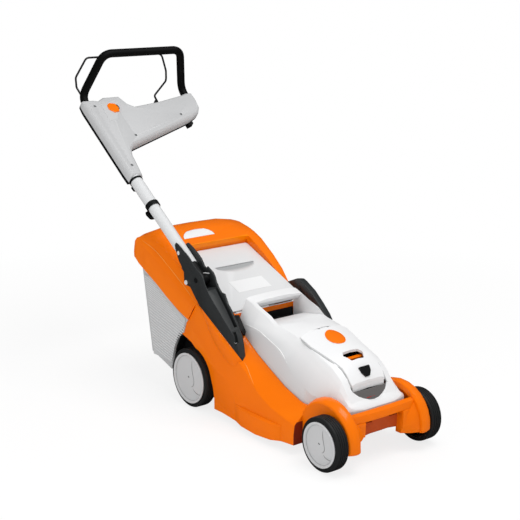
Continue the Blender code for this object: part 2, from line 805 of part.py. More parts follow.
LID_REAR_Y = -0.088
LID_PLAN = [
    (0.0810, LID_REAR_Y),
    (0.0825, -0.096),
    (0.0810, -0.130),
    (0.0690, -0.205),
    (0.0615, -0.240),
    (0.0610, -0.2700),
    (0.0575, -0.2765),
]
LID_OUTLINE = LID_PLAN + [(-x, y) for x, y in reversed(LID_PLAN)]
HINGE_GROOVE = 0.0035
LID_PIN = (-0.0905, 0.3025)
LID_PIN_R = 0.0015
LID_EAR = (0.0125, 0.0195)
LID_RISE = 0.0040
LID_LIP = 0.019
LATCH = Plane(-0.2684, 0.2235, radians(57.4))
LATCH_OUTLINE = filleted(
    [
        (-0.018, 0.020),
        (0.018, 0.020),
        (0.0165, 0.004),
        (0.0075, -0.009),
        (-0.0075, -0.009),
        (-0.0165, 0.004),
    ],
    0.003,
    2,
)
U_OUTLINE = [
    (0.066, 0.212),
    (0.064, 0.187),
    (0.050, 0.1745),
    (0.034, 0.1665),
    (0.016, 0.1605),
    (0.0, 0.159),
]


def make_hood():
    hood = add("hood", *loft([hood_outer(r) for r in HOOD_ROWS]), PALE, datum, 30.0)
    cutters = [add("hood_hollow_cut", *hood_hollow(HOOD_WALL, HOOD_STEP), None, datum, guide=True)]
    recess = [(x, y + HINGE_GROOVE if y > -0.089 else y) for x, y in inset(LID_OUTLINE, -0.0005)]
    deep = add("lid_recess_cut", *hood_sheet(0.05, -LID_STEP), None, datum, guide=True)
    keep(deep, add("lid_recess_plan", *upright(recess, 0.1, 0.5), None, datum, guide=True))
    cutters.append(deep)
    hatch = [(0.9 * x, max(y, -0.274)) for x, y in LID_PLAN[1:]]
    hatch = [(0.073, LID_REAR_Y + HINGE_GROOVE - 0.001)] + hatch
    hatch = hatch + [(-x, y) for x, y in reversed(hatch)]
    cutters.append(add("hatch_cut", *upright(hatch, 0.16, 0.5), None, datum, guide=True))
    u = U_OUTLINE + [(-x, z) for x, z in reversed(U_OUTLINE[:-1])]
    cutters.append(
        add("u_cut", *loft([[(x, y, z) for x, z in u] for y in (-0.35, -0.2730)]), None, datum, guide=True)
    )
    trough = [
        (TROUGH_Y0, TROUGH_Z0),
        (TROUGH_Y1 - 0.004, trough_z(TROUGH_Y1 - 0.004)),
        (TROUGH_Y1, TROUGH_Z1 - 0.004),
        (TROUGH_Y1, 0.200),
        (0.160, 0.200),
        (0.160, BAR_Z),
        (BAR_Y + 0.009, BAR_Z),
        (BAR_Y, BAR_Z + 0.012),
        (BAR_Y, 0.42),
        (TROUGH_Y0, 0.42),
    ]
    cutters.append(add("trough_cut", *across(trough, -TROUGH_X, TROUGH_X), None, datum, guide=True))
    cut(hood, *cutters)
    return hood


make_hood()

def crown_z(y):
    """Height of the hood's middle line."""
    return lerp_rows(HOOD_ROWS, y)[6]


lid_pivot = pivot("lid_axis", (0.0, *LID_PIN), datum)
lid = add("battery_lid", *hood_sheet(LID_RISE, -LID_T), PALE, lid_pivot, 30.0)
keep(lid, add("lid_plan", *upright(LID_OUTLINE, 0.1, 0.5), None, lid_pivot, guide=True))
window = [
    (0.027, -0.200),
    (0.035, -0.212),
    (0.022, -0.233),
    (-0.022, -0.233),
    (-0.035, -0.212),
    (-0.027, -0.200),
]
rear_slope = [
    (LID_REAR_Y + y, crown_z(LID_REAR_Y + y) + z)
    for y, z in ((-0.0125, LID_RISE + 0.0005), (-0.0035, -0.0004), (0.005, -0.0010))
]
rear_slope += [(LID_REAR_Y + 0.005, 0.36), (LID_REAR_Y - 0.0125, 0.36)]
lip = add("lid_lip_form", *hood_sheet(LID_RISE - 0.0010, -LID_LIP), None, lid_pivot, guide=True)
keep(
    lip,
    add("lid_lip_plan", *box(-0.0570, 0.0570, -0.2763, -0.2735, 0.1, 0.5), None, lid_pivot, guide=True),
)
fuse(lid, lip)
cut(
    lid,
    add("lid_window_cut", *upright(filleted(window, 0.004, 2), 0.2, 0.3), None, lid_pivot, guide=True),
    add("lid_rear_cut", *across(rear_slope, -0.10, 0.10), None, lid_pivot, guide=True),
    add(
        "lid_latch_cut",
        *LATCH.slab(inset(LATCH_OUTLINE, -0.0004), -0.012, 0.012),
        None,
        lid_pivot,
        guide=True,
    ),
    *[
        add(
            f"lid_ear_cut_{s}",
            *box(
                *sorted((s * (LID_EAR[0] - 0.0004), s * (LID_EAR[1] + 0.0004))),
                -0.0958,
                -0.08,
                0.29,
                0.32,
            ),
            None,
            lid_pivot,
            guide=True,
        )
        for s in (-1, 1)
    ],
)
fuse(
    lid,
    add(
        "lid_knuckle_form",
        *rod((0, *LID_PIN), 0.0032, -LID_EAR[0] + 0.0009, LID_EAR[0] - 0.0009),
        None,
        lid_pivot,
        guide=True,
    ),
)
cut(
    lid,
    add("lid_pin_cut", *rod((0, *LID_PIN), LID_PIN_R + GAP, -0.03, 0.03, 12), None, lid_pivot, guide=True),
)

latch_pivot = pivot("latch_axis", LATCH.at(0, 0.004, 0), lid_pivot)
latch = add("lid_latch", *LATCH.slab(LATCH_OUTLINE, -0.0060, 0.0010), BLACK, latch_pivot)
tongue = LATCH.slab(
    [(-0.006, -0.0075), (0.006, -0.0075), (0.006, 0.004), (-0.006, 0.004)], -0.0100, -0.0050,
)
fuse(latch, add("latch_tongue_form", *tongue, None, latch_pivot, guide=True))

badge = add(
    "lid_badge", *hood_sheet(LID_RISE + 0.0013, LID_RISE + GAP, -0.30, -0.06), ORANGE, lid_pivot, 30.0,
)
keep(badge, add("badge_plan", *rod((0, -0.140, 0), 0.029, 0.2, 0.35, 28, "Z"), None, lid_pivot, guide=True))

add("lid_hinge_pin", *rod((0, *LID_PIN), LID_PIN_R, -0.0192, 0.0192, 12), STEEL, datum)

BAY_X = BATTERY_X + 0.001
BAY_Y0 = BATTERY_Y0 - 0.001
BAY_Y1 = BATTERY_Y1 + 0.001
bay_outline = [
    (BAY_Y0 - BAY_WALL, ROOF_Z + GAP),
    (BAY_Y0 - BAY_WALL, 0.217),
    (BAY_Y1 + BAY_WALL, 0.270),
    (BAY_Y1 + BAY_WALL, ROOF_Z + GAP),
]
bay = add("battery_bay", *across(bay_outline, -BAY_X - BAY_WALL, BAY_X + BAY_WALL), BLACK, datum)
cut(
    bay,
    add("bay_cut", *box(-BAY_X, BAY_X, BAY_Y0, BAY_Y1, BATTERY_Z0 - GAP, 0.4), None, datum, guide=True),
)
ear = [(BAY_Y1 + 0.0004, 0.262), (BAY_Y1 + BAY_WALL, 0.262), (LID_PIN[0] + 0.0030, 0.292)]
ear += arc(*LID_PIN, 0.0030, 0.0, pi, 6) + [(LID_PIN[0] - 0.0030, 0.292)]
fuse(
    bay,
    *[
        add(
            f"bay_ear_{s}",
            *across(ear, *sorted((s * LID_EAR[0], s * LID_EAR[1]))),
            None,
            datum,
            guide=True,
        )
        for s in (-1, 1)
    ],
)
cut(bay, add("bay_pin_cut", *rod((0, *LID_PIN), LID_PIN_R + GAP, -0.03, 0.03, 12), None, datum, guide=True))

pack = filleted(
    [(-BATTERY_X, BATTERY_Y0), (BATTERY_X, BATTERY_Y0), (BATTERY_X, BATTERY_Y1), (-BATTERY_X, BATTERY_Y1)],
    0.008,
    3,
)
battery = add("battery_pack", *loft([
    [(x, y, BATTERY_Z0) for x, y in pack],
    [(x, y, BATTERY_Z1 - 0.012) for x, y in pack],
    [(x, y, BATTERY_Z1 - 0.008) for x, y in inset(pack, 0.003)],
    [(x, y, BATTERY_Z1) for x, y in inset(pack, 0.006)],
]), CHARCOAL, datum)
cut(
    battery,
    *[
        add(
            f"battery_rib_cut_{k}",
            *box(-0.02, 0.02, -0.226 + 0.012 * k, -0.220 + 0.012 * k, BATTERY_Z1 - 0.002, 0.3),
            None,
            datum,
            guide=True,
        )
        for k in range(8)
    ],
)

window_form = add("front_window", *hood_hollow(HOOD_WALL + GAP, HOOD_STEP + GAP), SMOKE, datum, 30.0)
keep(
    window_form,
    add("front_window_plan", *box(-0.076, 0.076, -0.306, -0.2785, 0.146, 0.184), None, datum, guide=True),
)
cut(
    window_form,
    add("front_window_cut", *hood_hollow(HOOD_WALL + 0.002, HOOD_STEP + 0.0035), None, datum, guide=True),
)

motor = add("motor", *turned([
    (0.0, ROOF_Z + GAP), (MOTOR_R, ROOF_Z + GAP), (MOTOR_R, ROOF_Z + 0.006), (
        MOTOR_R - 0.004,
        ROOF_Z + 0.009,
    ),
    (
        MOTOR_R - 0.004,
        ROOF_Z + MOTOR_H - 0.008,
    ), (MOTOR_R - 0.012, ROOF_Z + MOTOR_H), (0.018, ROOF_Z + MOTOR_H),
    (0.016, ROOF_Z + MOTOR_H + 0.006), (0.0, ROOF_Z + MOTOR_H + 0.006)], (0, BLADE_Y, 0), "Z", 24), CHARCOAL, datum)
cut(
    motor,
    add(
        "motor_bore",
        *rod((0, BLADE_Y, 0), MOTOR_SHAFT_R + GAP, 0.09, ROOF_Z + 0.020, 16, "Z"),
        None,
        datum,
        guide=True,
    ),
)

blade_pivot = pivot("blade_axis", (0.0, BLADE_Y, BLADE_Z), datum)
carrier = add("blade_carrier", *turned([
    (0.0, BLADE_Z + BLADE_T / 2 + GAP), (0.022, BLADE_Z + BLADE_T / 2 + GAP), (0.022, BLADE_Z + 0.014),
    (0.012, BLADE_Z + 0.020), (0.012, ROOF_Z - WALL - 0.006), (MOTOR_SHAFT_R, ROOF_Z - WALL - 0.004),
    (MOTOR_SHAFT_R, ROOF_Z + 0.018), (0.0, ROOF_Z + 0.018)], (0, BLADE_Y, 0), "Z", 20), BLACK, blade_pivot)
cut(
    carrier,
    add(
        "blade_bolt_bore",
        *rod((0, BLADE_Y, 0), 0.0043, BLADE_Z - 0.01, BLADE_Z + 0.034, 12, "Z"),
        None,
        blade_pivot,
        guide=True,
    ),
)


def blade_ring(x, wing, half):
    """A section of the blade bar: flat, with its trailing edge lifted near the tips."""
    top = BLADE_Z + BLADE_T / 2
    low = BLADE_Z - BLADE_T / 2
    s = 1.0 if x > 0 else -1.0
    lead = [
        (x, BLADE_Y - s * half, low),
        (x, BLADE_Y - s * half, low + 0.0008),
        (x, BLADE_Y - s * (half - 0.009), top),
    ]
    trail = [(x, BLADE_Y + s * half * 0.35, top), (x, BLADE_Y + s * half, top + wing), (x, BLADE_Y + s * half, low + wing),
             (x, BLADE_Y + s * half * 0.35, low)]
    ring = lead + trail
    return ring


rings = [
    blade_ring(0.0001, 0.0, BLADE_W / 2), blade_ring(0.100, 0.0, BLADE_W / 2), blade_ring(
        0.125, BLADE_WING, BLADE_W / 2,
    ),
    blade_ring(BLADE_R * 0.985, BLADE_WING, BLADE_W / 2 - 0.001),
]
blade = add("blade", *loft(rings), BLADE_STEEL, blade_pivot)
other = add(
    "blade_half_form",
    *loft([[(-x, 2 * BLADE_Y - y, z) for x, y, z in r] for r in rings]),
    None,
    blade_pivot,
    guide=True,
)
middle = add(
    "blade_middle_form",
    *box(
        -0.03,
        0.03,
        BLADE_Y - BLADE_W / 2 + 0.0095,
        BLADE_Y + BLADE_W / 2 - 0.0095,
        BLADE_Z - BLADE_T / 2 - 0.0004,
        BLADE_Z + BLADE_T / 2,
    ),
    None,
    blade_pivot,
    guide=True,
)
fuse(blade, other, middle)
cut(
    blade,
    add("blade_hole", *rod((0, BLADE_Y, 0), 0.0045, 0.02, 0.05, 12, "Z"), None, blade_pivot, guide=True),
)
add("blade_bolt", *turned([
    (0.0, BLADE_Z - 0.0105), (0.0100, BLADE_Z - 0.0105), (0.0110, BLADE_Z - 0.0095), (0.0110, BLADE_Z - 0.0022),
    (0.0040, BLADE_Z - 0.0022), (0.0040, BLADE_Z + 0.030), (0.0, BLADE_Z + 0.030)], (0, BLADE_Y, 0), "Z", 18), STEEL, blade_pivot)

controller = add(
    "motor_controller",
    *upright(
        filleted([(-0.045, 0.050), (0.045, 0.050), (0.045, 0.092), (-0.045, 0.092)], 0.005, 2),
        ROOF_Z + GAP,
        0.150,
    ),
    BLACK,
    datum,
)
cut(
    controller,
    *[
        add(
            f"controller_fin_cut_{k}",
            *box(-0.038 + 0.009 * k, -0.034 + 0.009 * k, 0.045, 0.10, 0.142, 0.16),
            None,
            datum,
            guide=True,
        )
        for k in range(9)
    ],
)

tray = [
    (0.1010, 0.2450),
    (0.1010, 0.2870),
    (0.1030, 0.2870),
    (0.1045, 0.2700),
    (0.1120, 0.2630),
    (0.1370, 0.2630),
    (0.1420, 0.2760),
    (0.1440, 0.2760),
    (0.1440, 0.2450),
]
add("carry_well", *across(tray, -TROUGH_X + GAP, TROUGH_X - GAP), BLACK, datum)


def make_carrier():
    """Black moulding inside the rear arches: axle cheeks, a tie between them and the wheel guards."""
    cheek = [
        (0.193, 0.036),
        (0.193, 0.104),
        (0.226, 0.160),
        (0.262, 0.196),
        (0.300, 0.211),
        (0.345, 0.211),
        (0.368, 0.1965),
        (0.388, 0.160),
        (0.400, 0.118),
        (0.396, 0.070),
        (0.350, 0.044),
    ]
    carrier = add(
        "rear_axle_carrier",
        *across([(0.284, 0.046), (0.284, 0.051), (0.346, 0.066), (0.346, 0.061)], -0.140, 0.140),
        BLACK,
        datum,
    )
    tools = []
    for side in (-1, 1):
        lo, hi = sorted((side * 0.1372, side * (CARRIER_X + 0.0001)))
        tools.append(add(f"cheek_form_{side}", *across(cheek, lo, hi), None, datum, guide=True))
        lo, hi = sorted((side * CHEEK_BOSS_X, side * 0.1380))
        tools.append(
            add(f"cheek_boss_{side}", *box(lo, hi, 0.212, 0.232, 0.128, 0.158), None, datum, guide=True)
        )
        guard = [
            (0.338, 0.2115),
            (0.349, 0.2110),
            (0.3685, 0.1975),
            (0.3885, 0.1605),
            (0.4005, 0.1185),
            (0.4015, 0.080),
        ]
        guard += [
            (0.3975, 0.080),
            (0.3965, 0.1180),
            (0.3850, 0.1585),
            (0.3655, 0.1940),
            (0.348, 0.2070),
            (0.338, 0.2075),
        ]
        lo, hi = sorted((side * (CARRIER_X - 0.001), side * 0.1715))
        tools.append(add(f"guard_form_{side}", *across(guard, lo, hi), None, datum, guide=True))
    fuse(carrier, *tools)
    holes = []
    for side in (-1, 1):
        lo, hi = sorted((side * 0.13, side * 0.15))
        holes.append(
            add(
                f"carrier_hole_{side}",
                *rod((0, *REAR_SHAFT), SHAFT_R + GAP, lo, hi, 16),
                None,
                datum,
                guide=True,
            )
        )
    cut(carrier, *holes)


make_carrier()

FRONT_STUD = (FRONT_SHAFT[0] + LINK_OFFSET[0], FRONT_SHAFT[1] + LINK_OFFSET[1])
REAR_STUD = (REAR_SHAFT[0] + LINK_OFFSET[0], REAR_SHAFT[1] + LINK_OFFSET[1])
ARM_X0 = 0.1496
ARM_X1 = 0.1546
LINK_ARM_X = (LINK_X + 0.0023, LINK_X + 0.0052)


def plate_between(a, b, ra, rb):
    """Outline of a link plate with a round eye at each end, in the side plane."""
    ang = atan2(b[1] - a[1], b[0] - a[0])
    first = arc(*a, ra, ang + pi / 2, ang + 3 * pi / 2, 6)
    second = arc(*b, rb, ang - pi / 2, ang + pi / 2, 6)
    return first + second


def make_crank(name, shaft, axle, stud, body, reach):
    """A cranked axle: cross shaft, an arm and a stub for each wheel, and an arm for the link."""
    crank = add(name, *rod((0, *shaft), SHAFT_R, -ARM_X1 + 0.0005, ARM_X1 - 0.0005, 16), STEEL, body)
    tools = []
    for side in (-1, 1):
        lo, hi = sorted((side * ARM_X0, side * ARM_X1))
        tools.append(
            add(
                f"{name}_arm_{side}",
                *across(plate_between(shaft, axle, CRANK_EYE_R, CRANK_EYE_R), lo, hi),
                None,
                body,
                guide=True,
            )
        )
        lo, hi = sorted((side * (ARM_X0 + 0.001), side * reach))
        tools.append(
            add(f"{name}_stub_{side}", *rod((0, *axle), STUB_R, lo, hi, 16), None, body, guide=True)
        )
    tools.append(
        add(
            f"{name}_link_arm",
            *across(plate_between(shaft, stud, CRANK_EYE_R - 0.0015, LINK_EYE_R - 0.002), *LINK_ARM_X),
            None,
            body,
            guide=True,
        )
    )
    tools.append(
        add(
            f"{name}_link_stud",
            *rod((0, *stud), LINK_PIN_R, LINK_X - 0.0020, LINK_ARM_X[1] - 0.001, 10),
            None,
            body,
            guide=True,
        )
    )
    fuse(crank, *tools)
    return crank


rear_body = pivot("rear_axle_axis", (0.0, *REAR_SHAFT), datum)
front_body = pivot("front_axle_axis", (0.0, *FRONT_SHAFT), datum)
STUB_END = 0.1852
make_crank("rear_axle", REAR_SHAFT, (REAR_AXLE_Y, REAR_AXLE_Z), REAR_STUD, rear_body, STUB_END)
make_crank("front_axle", FRONT_SHAFT, (FRONT_AXLE_Y, FRONT_AXLE_Z), FRONT_STUD, front_body, STUB_END)

link_body = pivot("height_link_axis", (LINK_X, *REAR_STUD), rear_body)
link = add(
    "height_link",
    *across(plate_between(FRONT_STUD, REAR_STUD, LINK_EYE_R, LINK_EYE_R), LINK_X - 0.0020, LINK_X + 0.0020),
    STEEL,
    link_body,
)
LEVER_STUD = (0.1315, 0.0888)
fuse(
    link,
    add(
        "lever_stud_form",
        *rod((0, *LEVER_STUD), LINK_PIN_R, LINK_X, LINK_X + 0.0115, 12),
        None,
        link_body,
        guide=True,
    ),
)
cut(
    link,
    add(
        "front_eye_cut",
        *rod((0, *FRONT_STUD), LINK_PIN_R + GAP, LINK_X - 0.01, LINK_X + 0.01, 12),
        None,
        link_body,
        guide=True,
    ),
    add(
        "rear_eye_cut",
        *rod((0, *REAR_STUD), LINK_PIN_R + GAP, LINK_X - 0.01, LINK_X + 0.01, 12),
        None,
        link_body,
        guide=True,
    ),
)

lever_body = pivot("height_lever_axis", (0.18, *LEVER_AT), datum)
LEVER_DIR = Vector((LEVER_STUD[0] - LEVER_AT[0], LEVER_STUD[1] - LEVER_AT[1])).normalized()
slot_end = Vector(LEVER_AT) + LEVER_DIR * 0.0555
lever = add(
    "height_lever",
    *across(plate_between(LEVER_AT, tuple(slot_end), 0.0085, 0.0075), LINK_X + 0.0070, LINK_X + 0.0105),
    BLACK,
    lever_body,
)
grip_end = (LEVER_AT[0] + 0.012, LEVER_AT[1] + 0.066)
fuse(
    lever,
    add(
        "lever_shaft_form",
        *rod((0, *LEVER_AT), LEVER_PIN_R, LINK_X + 0.008, 0.1835, 12),
        None,
        lever_body,
        guide=True,
    ),
    add(
        "lever_arm_form",
        *across(plate_between(LEVER_AT, grip_end, 0.0105, 0.0070), 0.1795, 0.1845),
        None,
        lever_body,
        guide=True,
    ),
    add(
        "lever_grip_form",
        *turned(
            [
                (0.0, 0.182),
                (0.0095, 0.182),
                (0.0105, 0.184),
                (0.0105, 0.189),
                (0.0085, 0.1915),
                (0.0, 0.1915),
            ],
            (0, *grip_end),
            "X",
            16,
        ),
        None,
        lever_body,
        guide=True,
    ),
)
a = Vector(LEVER_AT) + LEVER_DIR * 0.0413
b = Vector(LEVER_AT) + LEVER_DIR * 0.0477
cut(
    lever,
    add(
        "lever_slot_cut",
        *across(
            plate_between(tuple(a), tuple(b), LINK_PIN_R + 0.0013, LINK_PIN_R + 0.0013),
            LINK_X + 0.004,
            LINK_X + 0.014,
        ),
        None,
        lever_body,
        guide=True,
    ),
)


def make_wheel(name, side, axle, radius, cap_r, body):
    """A black wheel with a ribbed tread, a flat web, a hub and spokes, and its pale hub cap."""
    spin = pivot(f"{name}_axis", (side * 0.171, *axle), body)
    x0 = HALF_WIDTH - 0.0425
    x1 = x0 + TYRE_W
    profile = [(radius - SHOULDER, x0), (radius, x0 + SHOULDER)]
    pitch = (TYRE_W - 2 * SHOULDER) / (GROOVES + 1)
    for k in range(GROOVES):
        mid = x0 + SHOULDER + pitch * (k + 1)
        profile += [(radius, mid - 0.0018), (radius - GROOVE, mid), (radius, mid + 0.0018)]
    profile += [
        (radius, x1 - SHOULDER),
        (radius - SHOULDER, x1),
        (cap_r + GAP, x1),
        (cap_r + GAP, x1 - 0.0045),
        (HUB_BORE_R + 0.0001, x1 - 0.0045),
        (HUB_BORE_R + 0.0001, x0 + 0.010),
        (HUB_R, x0 + 0.010),
        (HUB_R, x1 - 0.0045 - WEB_T),
        (radius - 0.0115, x1 - 0.0045 - WEB_T),
        (radius - 0.0115, x0),
    ]
    profile = [(r, side * x) for r, x in profile]
    wheel = add(name, *turned(profile, (0, *axle), "X", TYRE_SIDES, pi / TYRE_SIDES), RUBBER, spin, 30.0)
    spokes = []
    for k in range(SPOKES):
        a = 2 * pi * k / SPOKES + pi / 12
        c, s = cos(a), sin(a)
        inner, outer = HUB_R - 0.002, radius - 0.0105
        plan = [(inner, -SPOKE_T / 2), (outer, -SPOKE_T / 2), (outer, SPOKE_T / 2), (inner, SPOKE_T / 2)]
        ring = [(axle[0] + r * c - t * s, axle[1] + r * s + t * c) for r, t in plan]
        lo, hi = sorted((side * (x0 + 0.0135), side * (x1 - 0.0045 - WEB_T + 0.001)))
        spokes.append(add(f"{name}_spoke_{k}", *across(ring, lo, hi), None, spin, guide=True))
    fuse(wheel, *spokes)
    face = HALF_WIDTH
    dish = [
        (0.0, x1 - 0.0042),
        (cap_r, x1 - 0.0042),
        (cap_r, face - 0.0015),
        (cap_r - 0.0015, face),
        (cap_r - 0.0095, face),
        (cap_r - CAP_RIM, face - CAP_DISH + 0.001),
        (cap_r * 0.5, face - CAP_DISH + 0.0016),
        (0.0135, face - CAP_DISH + 0.001),
        (0.0115, face - 0.0015),
        (0.0, face - 0.0015),
    ]
    cap = add(
        f"{name}_cap",
        *turned([(r, side * x) for r, x in dish], (0, *axle), "X", TYRE_SIDES, pi / TYRE_SIDES),
        PALE,
        spin,
        30.0,
    )
    lo, hi = sorted((side * (face - 0.004), side * (face + 0.01)))
    cut(
        cap,
        add(
            f"{name}_cap_slot",
            *box(lo, hi, axle[0] - 0.0065, axle[0] + 0.0065, axle[1] - 0.0015, axle[1] + 0.0015),
            None,
            spin,
            guide=True,
        ),
    )


for end, sides, axle, radius, cap_r, body in (
    ("front", ("right", "left"), (FRONT_AXLE_Y, FRONT_AXLE_Z), FRONT_WHEEL_R, 0.062, front_body),
    ("rear", ("right", "left"), (REAR_AXLE_Y, REAR_AXLE_Z), REAR_WHEEL_R, 0.0765, rear_body),
):
    make_wheel(f"{end}_wheel_{sides[0]}", -1, axle, radius, cap_r, body)
    make_wheel(f"{end}_wheel_{sides[1]}", 1, axle, radius, cap_r, body)

# Discharge flap, its rod and spring
flap_plane = Plane(FLAP_FRONT_Y, FLAP_FRONT_Z, FLAP_SLOPE)
flap_body = pivot("flap_axis", (0.0, *FLAP_HINGE), datum)
flap_outline = filleted(
    [
        (-FLAP_HALF_X, 0.0),
        (FLAP_HALF_X, 0.0),
        (FLAP_HALF_X + 0.002, FLAP_LENGTH),
        (-FLAP_HALF_X - 0.002, FLAP_LENGTH),
    ],
    [0.003, 0.003, 0.010, 0.010],
    3,
)
flap = add("discharge_flap", *loft([
    [flap_plane.at(x, s, -FLAP_T) for x, s in flap_outline],
    [flap_plane.at(x, s, -0.0012) for x, s in flap_outline],
    [flap_plane.at(x, s, 0.0) for x, s in inset(flap_outline, 0.0012)],
]), GREY, flap_body)
knuckles = []
KNUCKLES = [(-0.118, -0.088), (-0.030, 0.002), (0.088, 0.118)]
for k, (x0, x1) in enumerate(KNUCKLES):
    knuckles.append(
        add(f"flap_knuckle_{k}", *rod((0, *FLAP_HINGE), 0.0050, x0, x1, 12), None, flap_body, guide=True)
    )
    web = [
        (FLAP_HINGE[0] - 0.001, FLAP_HINGE[1]),
        (FLAP_HINGE[0] + 0.0042, FLAP_HINGE[1]),
        (FLAP_HINGE[0] + 0.0042, FLAP_HINGE[1] + 0.0085),
        (FLAP_HINGE[0] - 0.001, FLAP_HINGE[1] + 0.0075),
    ]
    knuckles.append(
        add(f"flap_web_{k}", *across(web, x0 + 0.0003, x1 - 0.0003), None, flap_body, guide=True)
    )
fuse(flap, *knuckles)
RECESS_FLOOR = 0.0013
recess = [(0.020 + 0.074 * cos(a), 0.2085 - 0.037 * sin(a)) for a in [pi * k / 12 for k in range(13)]]
cut(
    flap,
    add("flap_recess_cut", *loft([
        [flap_plane.at(x, s, 0.0100) for x, s in recess],
        [flap_plane.at(x, s, -0.0002) for x, s in recess],
        [
            flap_plane.at(
                0.020 + 0.96 * (x - 0.020), 0.2085 + 0.35 * (s - 0.2085) - 0.0005, RECESS_FLOOR - FLAP_T,
            )
            for x, s in recess
        ],
    ]), None, flap_body, guide=True),
    add("flap_bore_cut", *rod((0, *FLAP_HINGE), HINGE_R + GAP, -0.2, 0.2, 12), None, flap_body, guide=True),
)
add(
    "flap_hinge_rod",
    *rod((0, *FLAP_HINGE), HINGE_R, -CHUTE_X - 0.0022, CHUTE_X + 0.0022, 12),
    STEEL,
    datum,
)


def coil(x0, x1, turns, r, wire, sides=5, per_turn=9):
    """A wound spring round the flap's rod with a short straight leg at each end."""
    count = int(turns * per_turn)
    pts = [(x0 - 0.0005, FLAP_HINGE[0] + 0.006, FLAP_HINGE[1] - r)]
    for k in range(count + 1):
        a = -pi / 2 - 2 * pi * k / per_turn
        pts.append((x0 + (x1 - x0) * k / count, FLAP_HINGE[0] + r * cos(a), FLAP_HINGE[1] + r * sin(a)))
    pts.append((x1 + 0.0005, FLAP_HINGE[0] - 0.0045, FLAP_HINGE[1] - r))
    return sweep(pts, wire, sides)


add("flap_spring", *coil(0.010, 0.024, 5, 0.0044, 0.0007), STEEL, datum)

# Grass box
box_body = pivot("grass_box_axis", (0.0, 0.45, 0.30), datum)
COVER_DRAW = 0.0095
COVER_DRAW_Y = 0.290
COVER_FULL_Y = 0.414
# y, low z, crease z, ridge z, middle z
COVER_ROWS = [
    (0.245, 0.180, 0.285, 0.318, 0.330),
    (0.269, 0.180, 0.302, 0.343, 0.356),
    (0.298, 0.190, 0.321, 0.376, 0.372),
    (0.348, 0.200, 0.353, 0.411, 0.405),
    (0.414, 0.230, 0.394, 0.449, 0.440),
    (0.452, 0.250, 0.414, 0.4655, 0.470),
    (0.480, 0.260, 0.4275, 0.474, 0.488),
    (0.530, 0.300, 0.4520, 0.484, 0.4985),
    (0.556, 0.320, 0.4640, 0.483, 0.4950),
    (0.574, 0.330, 0.4680, 0.476, 0.4850),
    (0.586, 0.340, 0.4560, 0.462, 0.4700),
    (0.5915, 0.350, 0.4300, 0.440, 0.4480),
]


def cover_ring(row, d=0.0):
    """A section of the cover, drawn in at the front where it meets the deck's wings."""
    y, low, crease, ridge, middle = row
    drop = d * 1.3
    side = COVER_X - COVER_DRAW * max(0.0, min(1.0, (COVER_FULL_Y - y) / (COVER_FULL_Y - COVER_DRAW_Y)))
    return full_ring(
        [
            (side - 0.004 - d, low - 4 * d),
            (side - d, crease - 0.010 - d),
            (side - 0.001 - d, crease - drop),
            (side - 0.012 - d, ridge - 0.006 - drop),
            (side - 0.028 - d, ridge - drop),
            (0.100, middle - 0.15 * (middle - ridge) - drop),
            (0.0, middle - drop),
        ],
        y,
    )


COVER_EDGE = [(0.315, 0.264), (0.357, 0.282), (0.463, 0.339), (0.568, 0.387), (0.591, 0.405)]


def seam_offset(points, dy, dz):
    return [(y + dy, z + dz) for y, z in points]


def make_cover():
    cover = add("box_cover", *loft([cover_ring(r) for r in COVER_ROWS]), ORANGE, box_body, 30.0)
    cutters = []
    rows = [list(r) for r in COVER_ROWS[:-1]]
    rows[0][0] -= 0.02
    inner = [cover_ring(r, BOX_WALL) for r in rows]
    last = list(lerp_rows(COVER_ROWS, 0.588))
    inner.append(cover_ring([0.588] + last, BOX_WALL))
    for ring in inner:
        for i, p in enumerate(ring):
            if abs(p[0]) < 0.139 and p[1] < 0.462:
                ring[i] = (p[0], p[1], min(p[2], flap_z(p[1], FLAP_SEAT + 0.0012 + BOX_WALL)))
            elif p[1] < 0.462 and abs(p[0]) < 0.165:
                ring[i] = (
                    p[0],
                    p[1],
                    min(
                        p[2],
                        flap_z(p[1], FLAP_SEAT + 0.0012 + BOX_WALL) + 0.25 * max(0.0, abs(p[0]) - 0.139),
                    ),
                )
    cutters.append(add("cover_hollow_cut", *loft(inner), None, box_body, guide=True))
    low = [(0.20, 0.2642), (0.3149, 0.2642)] + COVER_EDGE[1:] + [(0.64, 0.444), (0.64, 0.10), (0.20, 0.10)]
    cutters.append(add("cover_low_cut", *across(low, -0.25, 0.25), None, box_body, guide=True))
    front = [
        (0.262 + 0.0007, 0.50),
        (0.20, 0.50),
        (0.20, 0.20),
        (0.36, 0.20),
    ] + [(y + 0.0005, z + 0.0003) for y, z in reversed(SEAM[:5])]
    cutters.append(add("cover_front_cut", *across(front, -0.25, 0.25), None, box_body, guide=True))
    slot = [
        (s, w)
        for s, w in (
            (-0.05, 0.2),
            (-0.05, -FLAP_SEAT - 0.0012),
            (FLAP_LENGTH + 0.0006, -FLAP_SEAT - 0.0012),
            (FLAP_LENGTH + 0.0030, 0.004),
            (FLAP_LENGTH + 0.0010, 0.2),
        )
    ]
    cutters.append(
        add(
            "flap_slot_cut",
            *flap_plane.side(slot, -FLAP_HALF_X - 0.0028, FLAP_HALF_X + 0.0028),
            None,
            box_body,
            guide=True,
        )
    )
    return cover, cutters


cover, cover_cutters = make_cover()
cover_cutters.append(
    add(
        "mouth_cut",
        *flap_plane.side([(0.0, -0.02), (0.0, -0.20), (0.20, -0.20), (0.20, -0.02)], -0.122, 0.122),
        None,
        box_body,
        guide=True,
    )
)
cut(cover, *cover_cutters)

